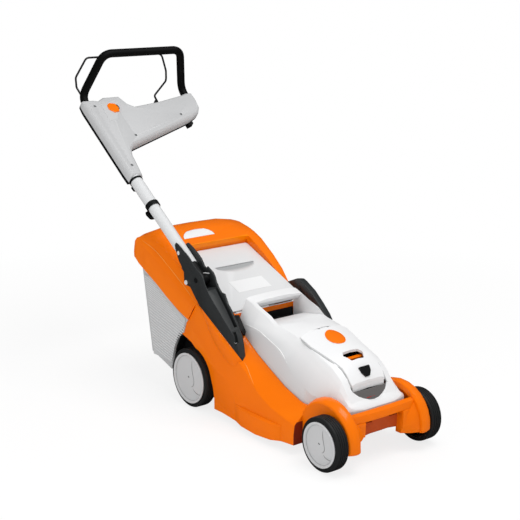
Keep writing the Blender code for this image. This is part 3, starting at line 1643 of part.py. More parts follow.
TUB_SIDE = [
    (0.3159, 0.2640),
    (0.3269, 0.2528),
    (0.3390, 0.2190),
    (0.3530, 0.2138),
    (0.3722, 0.2000),
    (0.3925, 0.1622),
    (0.4045, 0.1195),
    (0.4165, 0.0820),
    (0.4750, 0.1010),
    (0.5340, 0.1120),
    (0.5680, 0.3865),
    (0.4630, 0.3385),
    (0.3570, 0.2815),
]


def tub_x(z, d=0.0):
    t = (z - 0.082) / (0.3865 - 0.082)
    return BOX_X_LOW + (BOX_X_HIGH - BOX_X_LOW) * t - d


def tub_rings(outline, rears, d=0.0):
    """Side outlines run across the box, drawn in at the rear corners."""
    rings = []
    for side in (-1, 1):
        part = []
        for dx, pull in rears:
            ring = []
            for y, z in outline:
                back = min(max((y - 0.50) / 0.034, 0.0), 1.0)
                ring.append((side * (tub_x(z, d) - dx), y - pull * back, z))
            part.append(ring)
        rings += part if side < 0 else part[::-1]
    return rings


def make_tub():
    outline = [(y, z - GAP) for y, z in TUB_SIDE]
    tub = add(
        "box_tub",
        *loft(tub_rings(outline, [(0.0, 0.020), (0.004, 0.007), (0.016, 0.0)])),
        GREY,
        box_body,
        30.0,
    )
    throat = [(0.3528, 0.1020), (0.3528, 0.2300), (0.430, 0.2300), (0.430, 0.0950), (0.400, 0.0950)]
    fuse(tub, add("throat_form", *across(throat, -0.1282, 0.1282), None, box_body, guide=True))
    hollow = inset(outline, BOX_WALL)
    hollow = hollow[:-3] + [(0.5655, 0.395), (0.5655, 0.45), (0.30, 0.45), (0.30, 0.2655)]
    hollow[0] = (0.3185, 0.2655)
    cutters = [
        add(
            "tub_hollow_cut",
            *loft(tub_rings(hollow, [(0.0, 0.018), (0.003, 0.007), (0.012, 0.0)], BOX_WALL)),
            None,
            box_body,
            guide=True,
        )
    ]
    duct = [(0.34, 0.1045), (0.34, 0.2275), (0.4305, 0.2275), (0.4305, 0.0990)]
    cutters.append(add("throat_cut", *across(duct, -0.1255, 0.1255), None, box_body, guide=True))
    upper = [(0.30, 0.2272), (0.30, 0.30), (0.39, 0.30), (0.39, 0.2272)]
    cutters.append(add("throat_top_cut", *across(upper, -0.1255, 0.1255), None, box_body, guide=True))
    for k in range(LOUVRES):
        z = 0.128 + k * 0.0185
        for side in (-1, 1):
            x = tub_x(z)
            rise = 0.10
            y0, y1 = 0.412, 0.512
            if z > 0.24:
                y0 = 0.35 + (z - 0.24) * 0.9
            if z > 0.31:
                break
            rings = []
            for y in (y0, y1):
                zc = z + (y - 0.46) * 0.20
                xo = tub_x(zc)
                rings.append(
                    [
                        (side * (xo + 0.002), y, zc - 0.0026),
                        (side * (xo - LOUVRE_DEPTH), y, zc),
                        (side * (xo + 0.002), y, zc + 0.0026),
                    ]
                )
            cutters.append(add(f"louvre_{k}_{side}", *loft(rings), None, box_body, guide=True))
    cut(tub, *cutters)


make_tub()


# Level indicator on the cover's crown
IND_Y0 = 0.4560
IND_Y1 = 0.4860
IND_X = -0.033
IND_HALF = 0.057


def cover_sheet(upper, lower, y0, y1):
    """A layer over the cover's crown between two heights above its surface."""
    rings = []
    for y in [y0] + [r[0] for r in COVER_ROWS if y0 < r[0] < y1] + [y1]:
        low, crease, ridge, middle = lerp_rows(COVER_ROWS, y)
        half = [(0.100, middle - 0.15 * (middle - ridge)), (0.0, middle)]
        over = [(half[0][0], half[0][1] + upper), (0.0, middle + upper), (-half[0][0], half[0][1] + upper)]
        under = [(-half[0][0], half[0][1] + lower), (0.0, middle + lower), (half[0][0], half[0][1] + lower)]
        rings.append([(x, y, z) for x, z in over + under])
    return loft(rings)


def crescent(grow):
    """A crescent in plan: straight front edge, bowed back."""
    out = [(IND_X - IND_HALF - grow, IND_Y0 - grow), (IND_X + IND_HALF + grow, IND_Y0 - grow)]
    for k in range(1, 10):
        a = pi * k / 10
        out.append((IND_X + (IND_HALF + grow) * cos(a), IND_Y0 + (IND_Y1 - IND_Y0 + grow) * sin(a)))
    return out


pocket = add(
    "indicator_pocket_cut",
    *cover_sheet(0.02, -0.0022, IND_Y0 - 0.02, IND_Y1 + 0.02),
    None,
    box_body,
    guide=True,
)
keep(
    pocket,
    add("indicator_pocket_plan", *upright(crescent(0.0012), 0.40, 0.60), None, box_body, guide=True),
)
cut(cover, pocket)
indicator_z = lerp_rows(COVER_ROWS, IND_Y0)[3]
indicator_body = pivot("fill_indicator_axis", (0.0, IND_Y0, indicator_z - 0.0016), box_body)
indicator = add(
    "fill_indicator",
    *cover_sheet(-0.0003, -0.0019, IND_Y0 - 0.02, IND_Y1 + 0.02),
    PALE,
    indicator_body,
    30.0,
)
keep(
    indicator,
    add("indicator_plan", *upright(crescent(0.0), 0.40, 0.60), None, indicator_body, guide=True),
)

# Bracket on the right wing, fin on the left
tube_plane = Plane(TUBE_BASE_Y, TUBE_BASE_Z, TUBE_SLOPE)
FOLD_AT = tube_plane.at(TUBE_X, -FOLD_BACK, 0.0)
FOLD_Y = FOLD_AT.y
FOLD_Z = FOLD_AT.z
CHEEK_OUT = (-0.1970, -0.1941)
CHEEK_IN = (-0.1580, -0.1520)
BRACKET_SCREW = (0.3309, 0.4680)
BRACKET_BOLT = (0.2930, 0.3870)
# Bracket stations: y, outer x, ridge z, lower edge z, root z
BRACKET_ROWS = [
    (0.0640, -0.1680, 0.2010, 0.1960, 0.1500),
    (0.0694, -0.1715, 0.2150, 0.1985, 0.1500),
    (0.0755, -0.1760, 0.2480, 0.2020, 0.1500),
    (0.0830, -0.1805, 0.2690, 0.2080, 0.1550),
    (0.0945, -0.1845, 0.2850, 0.2180, 0.1650),
    (0.1345, -0.1930, 0.3310, 0.2540, 0.1950),
    (0.1689, -0.1970, 0.3660, 0.2829, 0.2250),
    (0.1889, -0.1970, 0.3857, 0.3010, 0.2450),
    (0.2007, -0.1970, 0.3995, 0.3120, 0.2600),
    (0.2080, -0.1970, 0.4150, 0.3180, 0.2700),
    (0.2166, -0.1970, 0.4261, 0.3240, 0.2850),
    (0.2439, -0.1970, 0.4385, 0.3484, 0.3200),
]
CHEEK_SIDE = [
    (0.200, 0.398),
    (0.208, 0.415),
    (0.2166, 0.4261),
    (0.2439, 0.4385),
    (0.2824, 0.4671),
    (0.3330, 0.4925),
    (0.3445, 0.4960),
    (0.3500, 0.4890),
    (0.3479, 0.4777),
    (0.3370, 0.4560),
    (0.3288, 0.4429),
    (0.3060, 0.4200),
    (0.3035, 0.3850),
    (0.2950, 0.3780),
    (0.2850, 0.3790),
    (0.2734, 0.3770),
    (0.2460, 0.3484),
    (0.2038, 0.3147),
]
BLOCK_SIDE = [
    (0.200, 0.3900),
    (0.2166, 0.4200),
    (0.2439, 0.4300),
    (0.2700, 0.4400),
    (0.3100, 0.4400),
    (0.3170, 0.4250),
    (0.2905, 0.4050),
    (0.2760, 0.3930),
    (0.2700, 0.3760),
    (0.2460, 0.3500),
    (0.2038, 0.3160),
]
INNER_SIDE = [
    (0.0700, 0.2150),
    (0.0840, 0.2640),
    (0.1000, 0.2960),
    (0.1220, 0.3220),
    (0.1305, 0.3328),
    (0.1462, 0.3472),
    (0.1620, 0.3740),
    (0.1834, 0.3751),
    (0.1994, 0.3914),
    (0.2183, 0.4023),
    (0.2401, 0.4143),
    (0.2540, 0.4170),
    (0.2580, 0.4300),
    (0.2640, 0.4414),
    (0.2754, 0.4553),
    (0.2948, 0.4682),
    (0.3228, 0.4829),
    (0.3420, 0.4905),
    (0.3500, 0.4860),
    (0.3440, 0.4700),
    (0.3170, 0.4300),
    (0.2905, 0.4050),
    (0.2760, 0.3900),
    (0.2700, 0.3500),
    (0.2100, 0.3000),
    (0.1500, 0.2450),
    (0.0900, 0.1900),
    (0.0700, 0.1800),
]
GROOVE_SIDE = [
    (0.1000, 0.2650),
    (0.1150, 0.2850),
    (0.1960, 0.3600),
    (0.1960, 0.4600),
    (0.1000, 0.4600),
]
CHANNEL_SIDE = [(0.165, 0.50), (0.1790, 0.3830), (0.2007, 0.3860), (0.235, 0.3800), (0.235, 0.50)]
HOLE_SIDE = [(0.0860, 0.2420), (0.0770, 0.2480), (0.0800, 0.2900), (0.0960, 0.2780)]


def deck_skin(grow):
    rows = [r for r in DECK_ROWS]
    return loft([deck_ring(r, grow) for r in rows])


def bracket_ring(row):
    """A section of the bracket: flat top, upright outer side, and a root set in on the wing."""
    y, out, ridge, low, root = row
    inner = min(CHEEK_IN[1], out + 0.0445)
    return [(out, y, ridge), (inner, y, ridge), (inner, y, root), (out + 0.013, y, root), (out, y, low)]


def make_bracket():
    bracket = add("right_bracket", *loft([bracket_ring(r) for r in BRACKET_ROWS]), CHARCOAL, datum, 35.0)
    fuse(
        bracket,
        add(
            "bracket_cheek_form",
            *across(CHEEK_SIDE, CHEEK_OUT[0], CHEEK_OUT[1] + 0.0004),
            None,
            datum,
            guide=True,
        ),
        add(
            "bracket_block_form",
            *across(BLOCK_SIDE, CHEEK_OUT[0] + 0.0001, CHEEK_IN[1] - 0.0001),
            None,
            datum,
            guide=True,
        ),
        add("bracket_inner_form", *across(INNER_SIDE, *CHEEK_IN), None, datum, guide=True),
    )
    slot = [
        (-0.088, 0.10),
        (-0.088, -0.012),
        (-0.074, -0.0285),
        (-0.046, -0.0285),
        (-0.034, -0.0200),
        (0.20, -0.0200),
        (0.20, 0.10),
    ]
    cutters = [
        add("bracket_slot_cut", *tube_plane.side(slot, CHEEK_OUT[1], CHEEK_IN[0]), None, datum, guide=True)
    ]
    cutters.append(
        add(
            "bracket_channel_cut",
            *across(CHANNEL_SIDE, CHEEK_OUT[1], CHEEK_IN[0]),
            None,
            datum,
            guide=True,
        )
    )
    cutters.append(
        add("bracket_groove_cut", *across(GROOVE_SIDE, -0.1670, CHEEK_IN[0]), None, datum, guide=True)
    )
    cutters.append(add("bracket_deck_cut", *deck_skin(GAP), None, datum, guide=True))
    cutters.append(
        add(
            "bracket_fold_hole",
            *rod((0, FOLD_Y, FOLD_Z), 0.0040 + GAP, -0.21, -0.14, 16),
            None,
            datum,
            guide=True,
        )
    )
    cutters.append(
        add(
            "bracket_screw_hole",
            *rod((0, *BRACKET_SCREW), 0.0022 + GAP, -0.21, -0.1925, 12),
            None,
            datum,
            guide=True,
        )
    )
    cutters.append(
        add(
            "bracket_bolt_hole",
            *rod((0, *BRACKET_BOLT), 0.0030 + GAP, -0.21, -0.190, 12),
            None,
            datum,
            guide=True,
        )
    )
    cutters.append(add("bracket_window_cut", *across(HOLE_SIDE, -0.1790, -0.1690), None, datum, guide=True))
    return cut(bracket, *cutters)


make_bracket()

fin_side = [
    (0.069, 0.205),
    (0.0665, 0.262),
    (0.077, 0.2765),
    (0.108, 0.3045),
    (0.145, 0.334),
    (0.185, 0.355),
    (0.199, 0.360),
    (0.210, 0.3585),
    (0.248, 0.342),
    (0.256, 0.330),
    (0.250, 0.276),
    (0.130, 0.212),
]
fin = add("left_fin", *loft([
    [(0.1500, y, z) for y, z in fin_side],
    [(0.1560, y, z) for y, z in fin_side],
    [(0.1740, y + 0.002, z - 0.003) for y, z in fin_side],
    [(0.1765, y + 0.004, z - 0.008) for y, z in fin_side],
]), CHARCOAL, datum, 35.0)
fin_groove = [
    (0.090, 0.262),
    (0.120, 0.290),
    (0.190, 0.335),
    (0.196, 0.328),
    (0.124, 0.281),
    (0.096, 0.255),
]
cut(
    fin,
    add("fin_deck_cut", *deck_skin(GAP), None, datum, guide=True),
    add("fin_groove_cut", *across(fin_groove, 0.1, 0.1535), None, datum, guide=True),
)

# Handle foot, fold joint and telescopic tube
handle_body = pivot("handle_fold_axis", (TUBE_X, FOLD_Y, FOLD_Z), datum)
slide_body = pivot("handle_slide_axis", tube_plane.at(TUBE_X, UPPER_TUBE_START, 0), handle_body)
foot = add(
    "handle_foot",
    *rod((0, FOLD_Y, FOLD_Z), 0.0165, CHEEK_OUT[1] + 0.0006, CHEEK_IN[0] - 0.0006, 24),
    BLACK,
    handle_body,
)
fuse(
    foot,
    add(
        "foot_neck_form",
        *tube_plane.bar(TUBE_X, 0, 0.0165, -FOLD_BACK, -GAP, 20),
        None,
        handle_body,
        guide=True,
    ),
    add(
        "foot_plug_form",
        *tube_plane.bar(TUBE_X, 0, LOWER_TUBE_R - TUBE_WALL - GAP, -0.01, 0.050, 20),
        None,
        handle_body,
        guide=True,
    ),
)
cut(
    foot,
    add(
        "foot_hole",
        *rod((0, FOLD_Y, FOLD_Z), 0.0040 + GAP, -0.21, -0.14, 16),
        None,
        handle_body,
        guide=True,
    ),
)
add(
    "fold_pin",
    *turned(
        [
            (0.0, -0.1995),
            (0.0065, -0.1990),
            (0.0080, -0.1973),
            (0.0040, -0.1973),
            (0.0040, -0.1515),
            (0.0, -0.1515),
        ],
        (0, FOLD_Y, FOLD_Z),
        "X",
        20,
    ),
    BLACK,
    datum,
)
add(
    "bracket_screw",
    *turned(
        [
            (0.0, -0.2010),
            (0.0040, -0.2003),
            (0.0062, -0.1985),
            (0.0062, -0.1973),
            (0.0022, -0.1973),
            (0.0022, -0.1940),
            (0.0, -0.1940),
        ],
        (0, *BRACKET_SCREW),
        "X",
        16,
    ),
    STEEL,
    datum,
)
add(
    "bracket_bolt",
    *turned(
        [
            (0.0, -0.2022),
            (0.0045, -0.2015),
            (0.0072, -0.1990),
            (0.0072, -0.1973),
            (0.0030, -0.1973),
            (0.0030, -0.1915),
            (0.0, -0.1915),
        ],
        (0, *BRACKET_BOLT),
        "X",
        16,
    ),
    STEEL,
    datum,
)


def tube(name, r, wall, s0, s1, body, material, sides=24):
    """A hollow tube along the handle."""
    rings = []
    for s in (s0, s1):
        rings.append([(r, s), (r - wall, s)])
    outer = tube_plane.bar(TUBE_X, 0, r, s0, s1, sides)
    obj = add(name, *outer, material, body)
    cut(
        obj,
        add(
            f"{name}_bore_cut",
            *tube_plane.bar(TUBE_X, 0, r - wall, s0 - 0.01, s1 + 0.01, sides),
            None,
            body,
            guide=True,
        ),
    )
    return obj


tube("lower_tube", LOWER_TUBE_R, TUBE_WALL, 0.0, LOWER_TUBE_L, handle_body, SILVER_TUBE)
tube(
    "upper_tube",
    UPPER_TUBE_R,
    UPPER_TUBE_R - LOWER_TUBE_R - GAP,
    UPPER_TUBE_START,
    UPPER_TUBE_END,
    slide_body,
    SILVER_TUBE,
)

clamp = add(
    "tube_clamp",
    *tube_plane.bar(TUBE_X, 0, 0.0217, CLAMP_AT - 0.002, CLAMP_AT + 0.0135, 24),
    BLACK,
    slide_body,
)
fuse(
    clamp,
    add(
        "clamp_lug_form",
        *tube_plane.side(
            [
                (CLAMP_AT - 0.001, -0.018),
                (CLAMP_AT - 0.001, -0.0280),
                (CLAMP_AT + 0.004, -0.0315),
                (CLAMP_AT + 0.009, -0.0300),
                (CLAMP_AT + 0.0125, -0.0220),
                (CLAMP_AT + 0.0125, -0.018),
            ],
            TUBE_X - 0.009,
            TUBE_X + 0.009,
        ),
        None,
        slide_body,
        guide=True,
    ),
)
clamp_pin = tube_plane.at(TUBE_X, CLAMP_AT + 0.0045, -0.0268)
cut(
    clamp,
    add(
        "clamp_bore_cut",
        *tube_plane.bar(TUBE_X, 0, UPPER_TUBE_R + GAP, UPPER_TUBE_START - 0.0005, CLAMP_AT + 0.04, 24),
        None,
        slide_body,
        guide=True,
    ),
    add(
        "clamp_low_bore_cut",
        *tube_plane.bar(TUBE_X, 0, LOWER_TUBE_R + GAP, CLAMP_AT - 0.02, CLAMP_AT + 0.02, 24),
        None,
        slide_body,
        guide=True,
    ),
    add(
        "clamp_pin_cut",
        *rod((0, clamp_pin.y, clamp_pin.z), 0.0025, TUBE_X - 0.02, TUBE_X + 0.02, 12),
        None,
        slide_body,
        guide=True,
    ),
)
clamp_body = pivot("clamp_lever_axis", clamp_pin, slide_body)
lever_outline = [
    (CLAMP_AT + 0.0105, -0.0262),
    (CLAMP_AT + 0.0105, -0.0310),
    (CLAMP_AT + 0.0040, -0.0350),
    (CLAMP_AT - 0.0180, -0.0300),
    (CLAMP_AT - 0.0260, -0.0240),
    (CLAMP_AT - 0.0240, -0.0212),
    (CLAMP_AT - 0.0060, -0.0230),
    (CLAMP_AT - 0.0030, -0.0250),
]
clamp_lever = add(
    "clamp_lever", *tube_plane.side(lever_outline, TUBE_X - 0.0135, TUBE_X + 0.0135), BLACK, clamp_body,
)
cut(
    clamp_lever,
    add(
        "clamp_lever_slot_cut",
        *tube_plane.side(
            [
                (CLAMP_AT - 0.0045, -0.0325),
                (CLAMP_AT - 0.0045, -0.018),
                (CLAMP_AT + 0.0225, -0.018),
                (CLAMP_AT + 0.0225, -0.0325),
            ],
            TUBE_X - 0.0094,
            TUBE_X + 0.0094,
        ),
        None,
        clamp_body,
        guide=True,
    ),
)
fuse(
    clamp_lever,
    add(
        "clamp_lever_pin_form",
        *rod((0, clamp_pin.y, clamp_pin.z), 0.0022, TUBE_X - 0.011, TUBE_X + 0.011, 12),
        None,
        clamp_body,
        guide=True,
    ),
)

collar_clip = add("collar_clip", *tube_plane.bar(TUBE_X, 0, 0.0214, 0.3560, 0.3628, 20), BLACK, slide_body)
fuse(
    collar_clip,
    add(
        "clip_lug_form",
        *tube_plane.side(
            [
                (0.3400, -0.0205),
                (0.3400, -0.0250),
                (0.3460, -0.0300),
                (0.3620, -0.0310),
                (0.3620, -0.0180),
                (0.3540, -0.0180),
            ],
            TUBE_X - 0.007,
            TUBE_X + 0.007,
        ),
        None,
        slide_body,
        guide=True,
    ),
)
cut(
    collar_clip,
    add(
        "clip_bore_cut",
        *tube_plane.bar(TUBE_X, 0, UPPER_TUBE_R + GAP, 0.33, 0.40, 24),
        None,
        slide_body,
        guide=True,
    ),
)

# Control housing on the tube's upper end
BAIL_S = 0.278
BAIL_RIGHT = 0.067
BAIL_LEFT = -0.129
head = Plane(0.618, 0.663, HOUSING_SLOPE)
HEAD_OUTLINE = [
    (-0.198, -0.033),
    (-0.153, -0.031),
    (-0.149, 0.020),
    (-0.1475, 0.052),
    (-0.139, 0.077),
    (-0.124, 0.092),
    (0.142, 0.181),
    (0.183, 0.203),
    (0.197, 0.223),
    (0.2015, 0.262),
    (0.199, 0.291),
    (0.175, 0.2925),
    (0.150, 0.284),
    (0.059, 0.266),
    (-0.043, 0.254),
    (-0.063, 0.268),
    (-0.080, 0.302),
    (-0.140, 0.302),
    (-0.163, 0.290),
    (-0.178, 0.294),
    (-0.2170, 0.294),
    (-0.2185, 0.271),
    (-0.2015, 0.000),
]
HEAD_SPLIT = -0.004


def head_ring(d, w):
    return [head.at(x, s, w) for x, s in inset(HEAD_OUTLINE, d)]


SCREWS = [(0.106, 0.197), (-0.102, 0.128), (-0.1745, 0.0110), (-0.1870, 0.2630)]
BUTTON = [
    (-0.136, 0.236),
    (-0.112, 0.236),
    (-0.104, 0.248),
    (-0.106, 0.262),
    (-0.126, 0.266),
    (-0.138, 0.252),
]
bail_point = head.at(0.0, BAIL_S, 0.0)
upper = add("control_housing_upper", *loft([
    head_ring(0.0, HEAD_SPLIT + GAP), head_ring(0.0, SHELL_TOP - 0.012), head_ring(0.003, SHELL_TOP - 0.005), head_ring(0.009, SHELL_TOP),
]), PALE, slide_body, 35.0)
lower = add("control_housing_lower", *loft([
    head_ring(0.0, HEAD_SPLIT), head_ring(
        0.001, HEAD_SPLIT - 0.010,
    ), head_ring(0.006, -SHELL_LOW), head_ring(0.012, -SHELL_LOW - 0.004),
]), BLACK, slide_body, 35.0)
nub = [(0.136, 0.170), (0.158, 0.178), (0.158, 0.196), (0.136, 0.196)]
fuse(
    lower,
    add("housing_nub_form", *head.slab(nub, -0.022, HEAD_SPLIT - 0.001), None, slide_body, guide=True),
)
GRIP_PATH = bent(
    [
        head.at(-GRIP_X, 0.248, 0.0),
        (-0.1925, 0.877, 0.871),
        (-0.145, 0.810, 1.012),
        (0.145, 0.810, 1.012),
        (0.1925, 0.877, 0.871),
        head.at(GRIP_X, 0.248, 0.0),
    ],
    0.042,
    5,
)
inside = [(x, s) for x, s in inset(HEAD_OUTLINE, 0.0060)]
shell_cutters = [
    add(
        "housing_hollow_cut",
        *loft(
            [
                [head.at(x, s, -SHELL_LOW) for x, s in inset(HEAD_OUTLINE, 0.012)],
                [head.at(x, s, HEAD_SPLIT - 0.008) for x, s in inside],
                [head.at(x, s, SHELL_TOP - 0.009) for x, s in inside],
                [head.at(x, s, SHELL_TOP - 0.003) for x, s in inset(HEAD_OUTLINE, 0.012)],
            ]
        ),
        None,
        slide_body,
        guide=True,
    ),
    add(
        "housing_tube_cut",
        *tube_plane.bar(TUBE_X, 0, UPPER_TUBE_R + GAP, 0.36, UPPER_TUBE_END + 0.004, 24),
        None,
        slide_body,
        guide=True,
    ),
]
for side in (-1, 1):
    inner = head.at(side * GRIP_X, 0.248, 0.0)
    outer = Vector((side * 0.1925, 0.877, 0.871))
    step = (outer - inner).normalized()
    shell_cutters.append(
        add(
            f"grip_hole_cut_{side}",
            *sweep([inner - step * GAP, inner + step * 0.07], GRIP_R + GAP, 16),
            None,
            slide_body,
            guide=True,
        )
    )
shell_cutters.append(
    add(
        "bail_slot_cut",
        *head.slab(
            [
                (BAIL_LEFT - 0.0045, 0.262),
                (BAIL_LEFT + 0.0135, 0.262),
                (BAIL_LEFT + 0.0135, 0.2835),
                (BAIL_LEFT + 0.0045, 0.2835),
                (BAIL_LEFT + 0.0045, 0.32),
                (BAIL_LEFT - 0.0045, 0.32),
            ],
            -0.0050,
            0.0155,
        ),
        None,
        slide_body,
        guide=True,
    )
)
upper_cutters = shell_cutters + [
    add("button_hole_cut", *head.slab(inset(BUTTON, -0.0006), 0.0, 0.04), None, slide_body, guide=True)
]
lower_cutters = list(shell_cutters)
for k, (x, s) in enumerate(SCREWS):
    upper_cutters.append(
        add(
            f"screw_hole_cut_{k}",
            *head.slab(
                [(x + 0.0021 * cos(2 * pi * j / 12), s + 0.0021 * sin(2 * pi * j / 12)) for j in range(12)],
                -0.01,
                0.03,
            ),
            None,
            slide_body,
            guide=True,
        )
    )
    upper_cutters.append(
        add(
            f"screw_sink_cut_{k}",
            *head.slab(
                [(x + 0.0046 * cos(2 * pi * j / 12), s + 0.0046 * sin(2 * pi * j / 12)) for j in range(12)],
                SHELL_TOP - 0.0020,
                0.03,
            ),
            None,
            slide_body,
            guide=True,
        )
    )
cut(upper, *upper_cutters)
cut(lower, *lower_cutters)
ear = [
    (BAIL_RIGHT - 0.011, 0.255),
    (BAIL_RIGHT - 0.0045, 0.255),
    (BAIL_RIGHT - 0.0045, BAIL_S + 0.006),
    (BAIL_RIGHT - 0.011, BAIL_S + 0.006),
]
fuse(lower, add("bail_ear_form", *head.slab(ear, -0.0062, HEAD_SPLIT - 0.001), None, slide_body, guide=True),
     add("bail_ear_top_form", *head.slab([(x, max(s, 0.2712)) for x, s in ear], -0.0062, 0.0062), None, slide_body, guide=True))
cut(
    lower,
    add(
        "bail_ear_hole_cut",
        *rod((0, bail_point.y, bail_point.z), BAIL_R + GAP, BAIL_RIGHT - 0.02, BAIL_RIGHT + 0.002, 12),
        None,
        slide_body,
        guide=True,
    ),
)
for k, (x, s) in enumerate(SCREWS):
    c = head.at(x, s, 0)
    rings = []
    for r, w in (
        (0.0016, SHELL_TOP - 0.0046),
        (0.0016, SHELL_TOP - 0.0017),
        (0.0042, SHELL_TOP - 0.0017),
        (0.0042, SHELL_TOP - 0.0002),
        (0.0030, SHELL_TOP + 0.0004),
    ):
        rings.append(
            [head.at(x + r * cos(2 * pi * j / 12), s + r * sin(2 * pi * j / 12), w) for j in range(12)]
        )
    add(f"housing_screw_{k + 1}", *loft(rings), STEEL, slide_body)

button_body = pivot("start_button_axis", head.at(-0.121, 0.251, SHELL_TOP), slide_body)
button = add("start_button", *loft([
    [head.at(x, s, SHELL_TOP - 0.0035) for x, s in inset(BUTTON, -0.0022)],
    [head.at(x, s, SHELL_TOP - 0.0055) for x, s in inset(BUTTON, -0.0022)],
]), ORANGE, button_body)
button_top = add("button_top_form", *loft([
    [head.at(x, s, SHELL_TOP - 0.0050) for x, s in BUTTON],
    [head.at(x, s, SHELL_TOP + 0.0010) for x, s in BUTTON],
    [head.at(x, s, SHELL_TOP + 0.0022) for x, s in inset(BUTTON, 0.002)],
]), None, button_body, guide=True)

fuse(button, button_top)

add("handle_loop", *sweep(GRIP_PATH, GRIP_R, 12), FOAM, slide_body)

bail_at = head.at(0.0, BAIL_S, 0.0)
bail_body = pivot("bail_axis", (-0.031, bail_at.y, bail_at.z), slide_body)
bail_path = bent(
    [
        head.at(BAIL_RIGHT - 0.012, BAIL_S, 0.0),
        head.at(BAIL_RIGHT, BAIL_S, 0.0),
        head.at(BAIL_RIGHT + 0.001, BAIL_S + 0.030, 0.0),
        (0.137, 0.884, 0.906),
        (0.141, 0.890, 0.938),
        (0.126, 0.893, 0.995),
        (-0.160, 0.893, 0.995),
        (-0.202, 0.890, 0.935),
        (-0.203, 0.893, 0.904),
        (-0.160, 0.895, 0.884),
        head.at(BAIL_LEFT, BAIL_S + 0.034, 0.0),
        head.at(BAIL_LEFT, BAIL_S, 0.0),
        head.at(BAIL_LEFT + 0.012, BAIL_S, 0.0),
    ],
    0.020,
    3,
)
add("motor_stop_bail", *sweep(bail_path, BAIL_R, 6), BLACK, bail_body)
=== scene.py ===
"""The looks of a cordless lawn mower: mouldings, tyres, tubes and fittings round its working frame."""

from math import cos, pi, radians, sin, tan

import bpy
from mathutils import Matrix, Vector
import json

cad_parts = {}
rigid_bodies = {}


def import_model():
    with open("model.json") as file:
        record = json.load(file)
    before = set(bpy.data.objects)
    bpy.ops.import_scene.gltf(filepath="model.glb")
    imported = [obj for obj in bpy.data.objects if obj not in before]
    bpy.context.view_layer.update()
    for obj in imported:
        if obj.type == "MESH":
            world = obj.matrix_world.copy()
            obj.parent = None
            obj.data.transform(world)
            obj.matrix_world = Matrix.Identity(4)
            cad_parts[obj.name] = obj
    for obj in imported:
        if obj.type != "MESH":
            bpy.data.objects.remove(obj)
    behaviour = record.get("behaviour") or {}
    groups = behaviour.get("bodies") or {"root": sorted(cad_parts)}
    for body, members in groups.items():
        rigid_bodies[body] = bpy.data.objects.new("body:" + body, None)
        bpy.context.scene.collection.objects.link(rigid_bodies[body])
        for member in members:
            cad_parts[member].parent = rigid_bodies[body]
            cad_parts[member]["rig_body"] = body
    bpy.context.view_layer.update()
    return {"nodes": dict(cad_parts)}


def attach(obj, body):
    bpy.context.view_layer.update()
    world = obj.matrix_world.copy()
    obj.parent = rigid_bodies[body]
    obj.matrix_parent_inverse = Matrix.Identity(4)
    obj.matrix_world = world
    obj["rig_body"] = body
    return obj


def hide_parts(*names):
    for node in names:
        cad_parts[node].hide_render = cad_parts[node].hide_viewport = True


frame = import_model()

# Camera: it stands at the mower's front right, a little above it, as the photographer did.
# Its long lens keeps the wheels nearly round.
CAMERA_AT = (-2.06769, -2.71221, 1.29342)
CAMERA_TURN = -37.997
CAMERA_PITCH = 14.210
CAMERA_LENS = 81.62
SENSOR_WIDTH = 36
FARTHEST_SEEN = 60

bpy.ops.object.select_all(action="DESELECT")
camera_turned = (radians(90 - CAMERA_PITCH), 0, radians(CAMERA_TURN))
bpy.ops.object.camera_add(location=CAMERA_AT, rotation=camera_turned)
camera = bpy.context.object
camera.name = "photographer_camera"
camera.data.lens = CAMERA_LENS
camera.data.sensor_width = SENSOR_WIDTH
camera.data.clip_end = FARTHEST_SEEN
bpy.context.scene.camera = camera
bpy.context.scene.view_settings.view_transform = "Standard"

# Studio: a white paper floor that keeps the mower's soft shadow, a white world and two soft boxes.
# The camera sees them white. Gloss sees them dim, so that the mouldings' colours stay deep.
FLOOR_SIZE = 400
FLOOR_SHOWS_WHITE = 0.80
SHADOW_REACH = 0.9
FADE_LENGTH = 1.2
PAPER_COLOUR = (0.95, 0.95, 0.95, 1)
WHITE = (1, 1, 1, 1)
WORLD_LIGHT = 0.62
WORLD_IN_GLOSS = 0.03
FLOOR_IN_GLOSS = 0.05
OVERHEAD_POWER = 50
FILL_POWER = 22


class Wire:
    """One output of a shader node: sums of Wires add their Math nodes, and node adds any other."""

    def __init__(self, tree, socket=None):
        self.tree = tree
        self.socket = socket

    def node(self, kind, settings, sockets, out=0):
        made = self.tree.nodes.new(kind)
        for name, value in settings.items():
            setattr(made, name, value)
        for name, value in sockets.items():
            if isinstance(value, Wire):
                self.tree.links.new(value.socket, made.inputs[name])
            else:
                made.inputs[name].default_value = value
        return Wire(self.tree, made.outputs[out])

    def sum(self, operation, *values):
        return self.node("ShaderNodeMath", {"operation": operation}, dict(enumerate(values)))

    def __add__(self, other):
        return self.sum("ADD", self, other)

    def __sub__(self, other):
        return self.sum("SUBTRACT", self, other)

    def __mul__(self, other):
        return self.sum("MULTIPLY", self, other)

    def __rsub__(self, other):
        return self.sum("SUBTRACT", other, self)

    __radd__ = __add__
    __rmul__ = __mul__


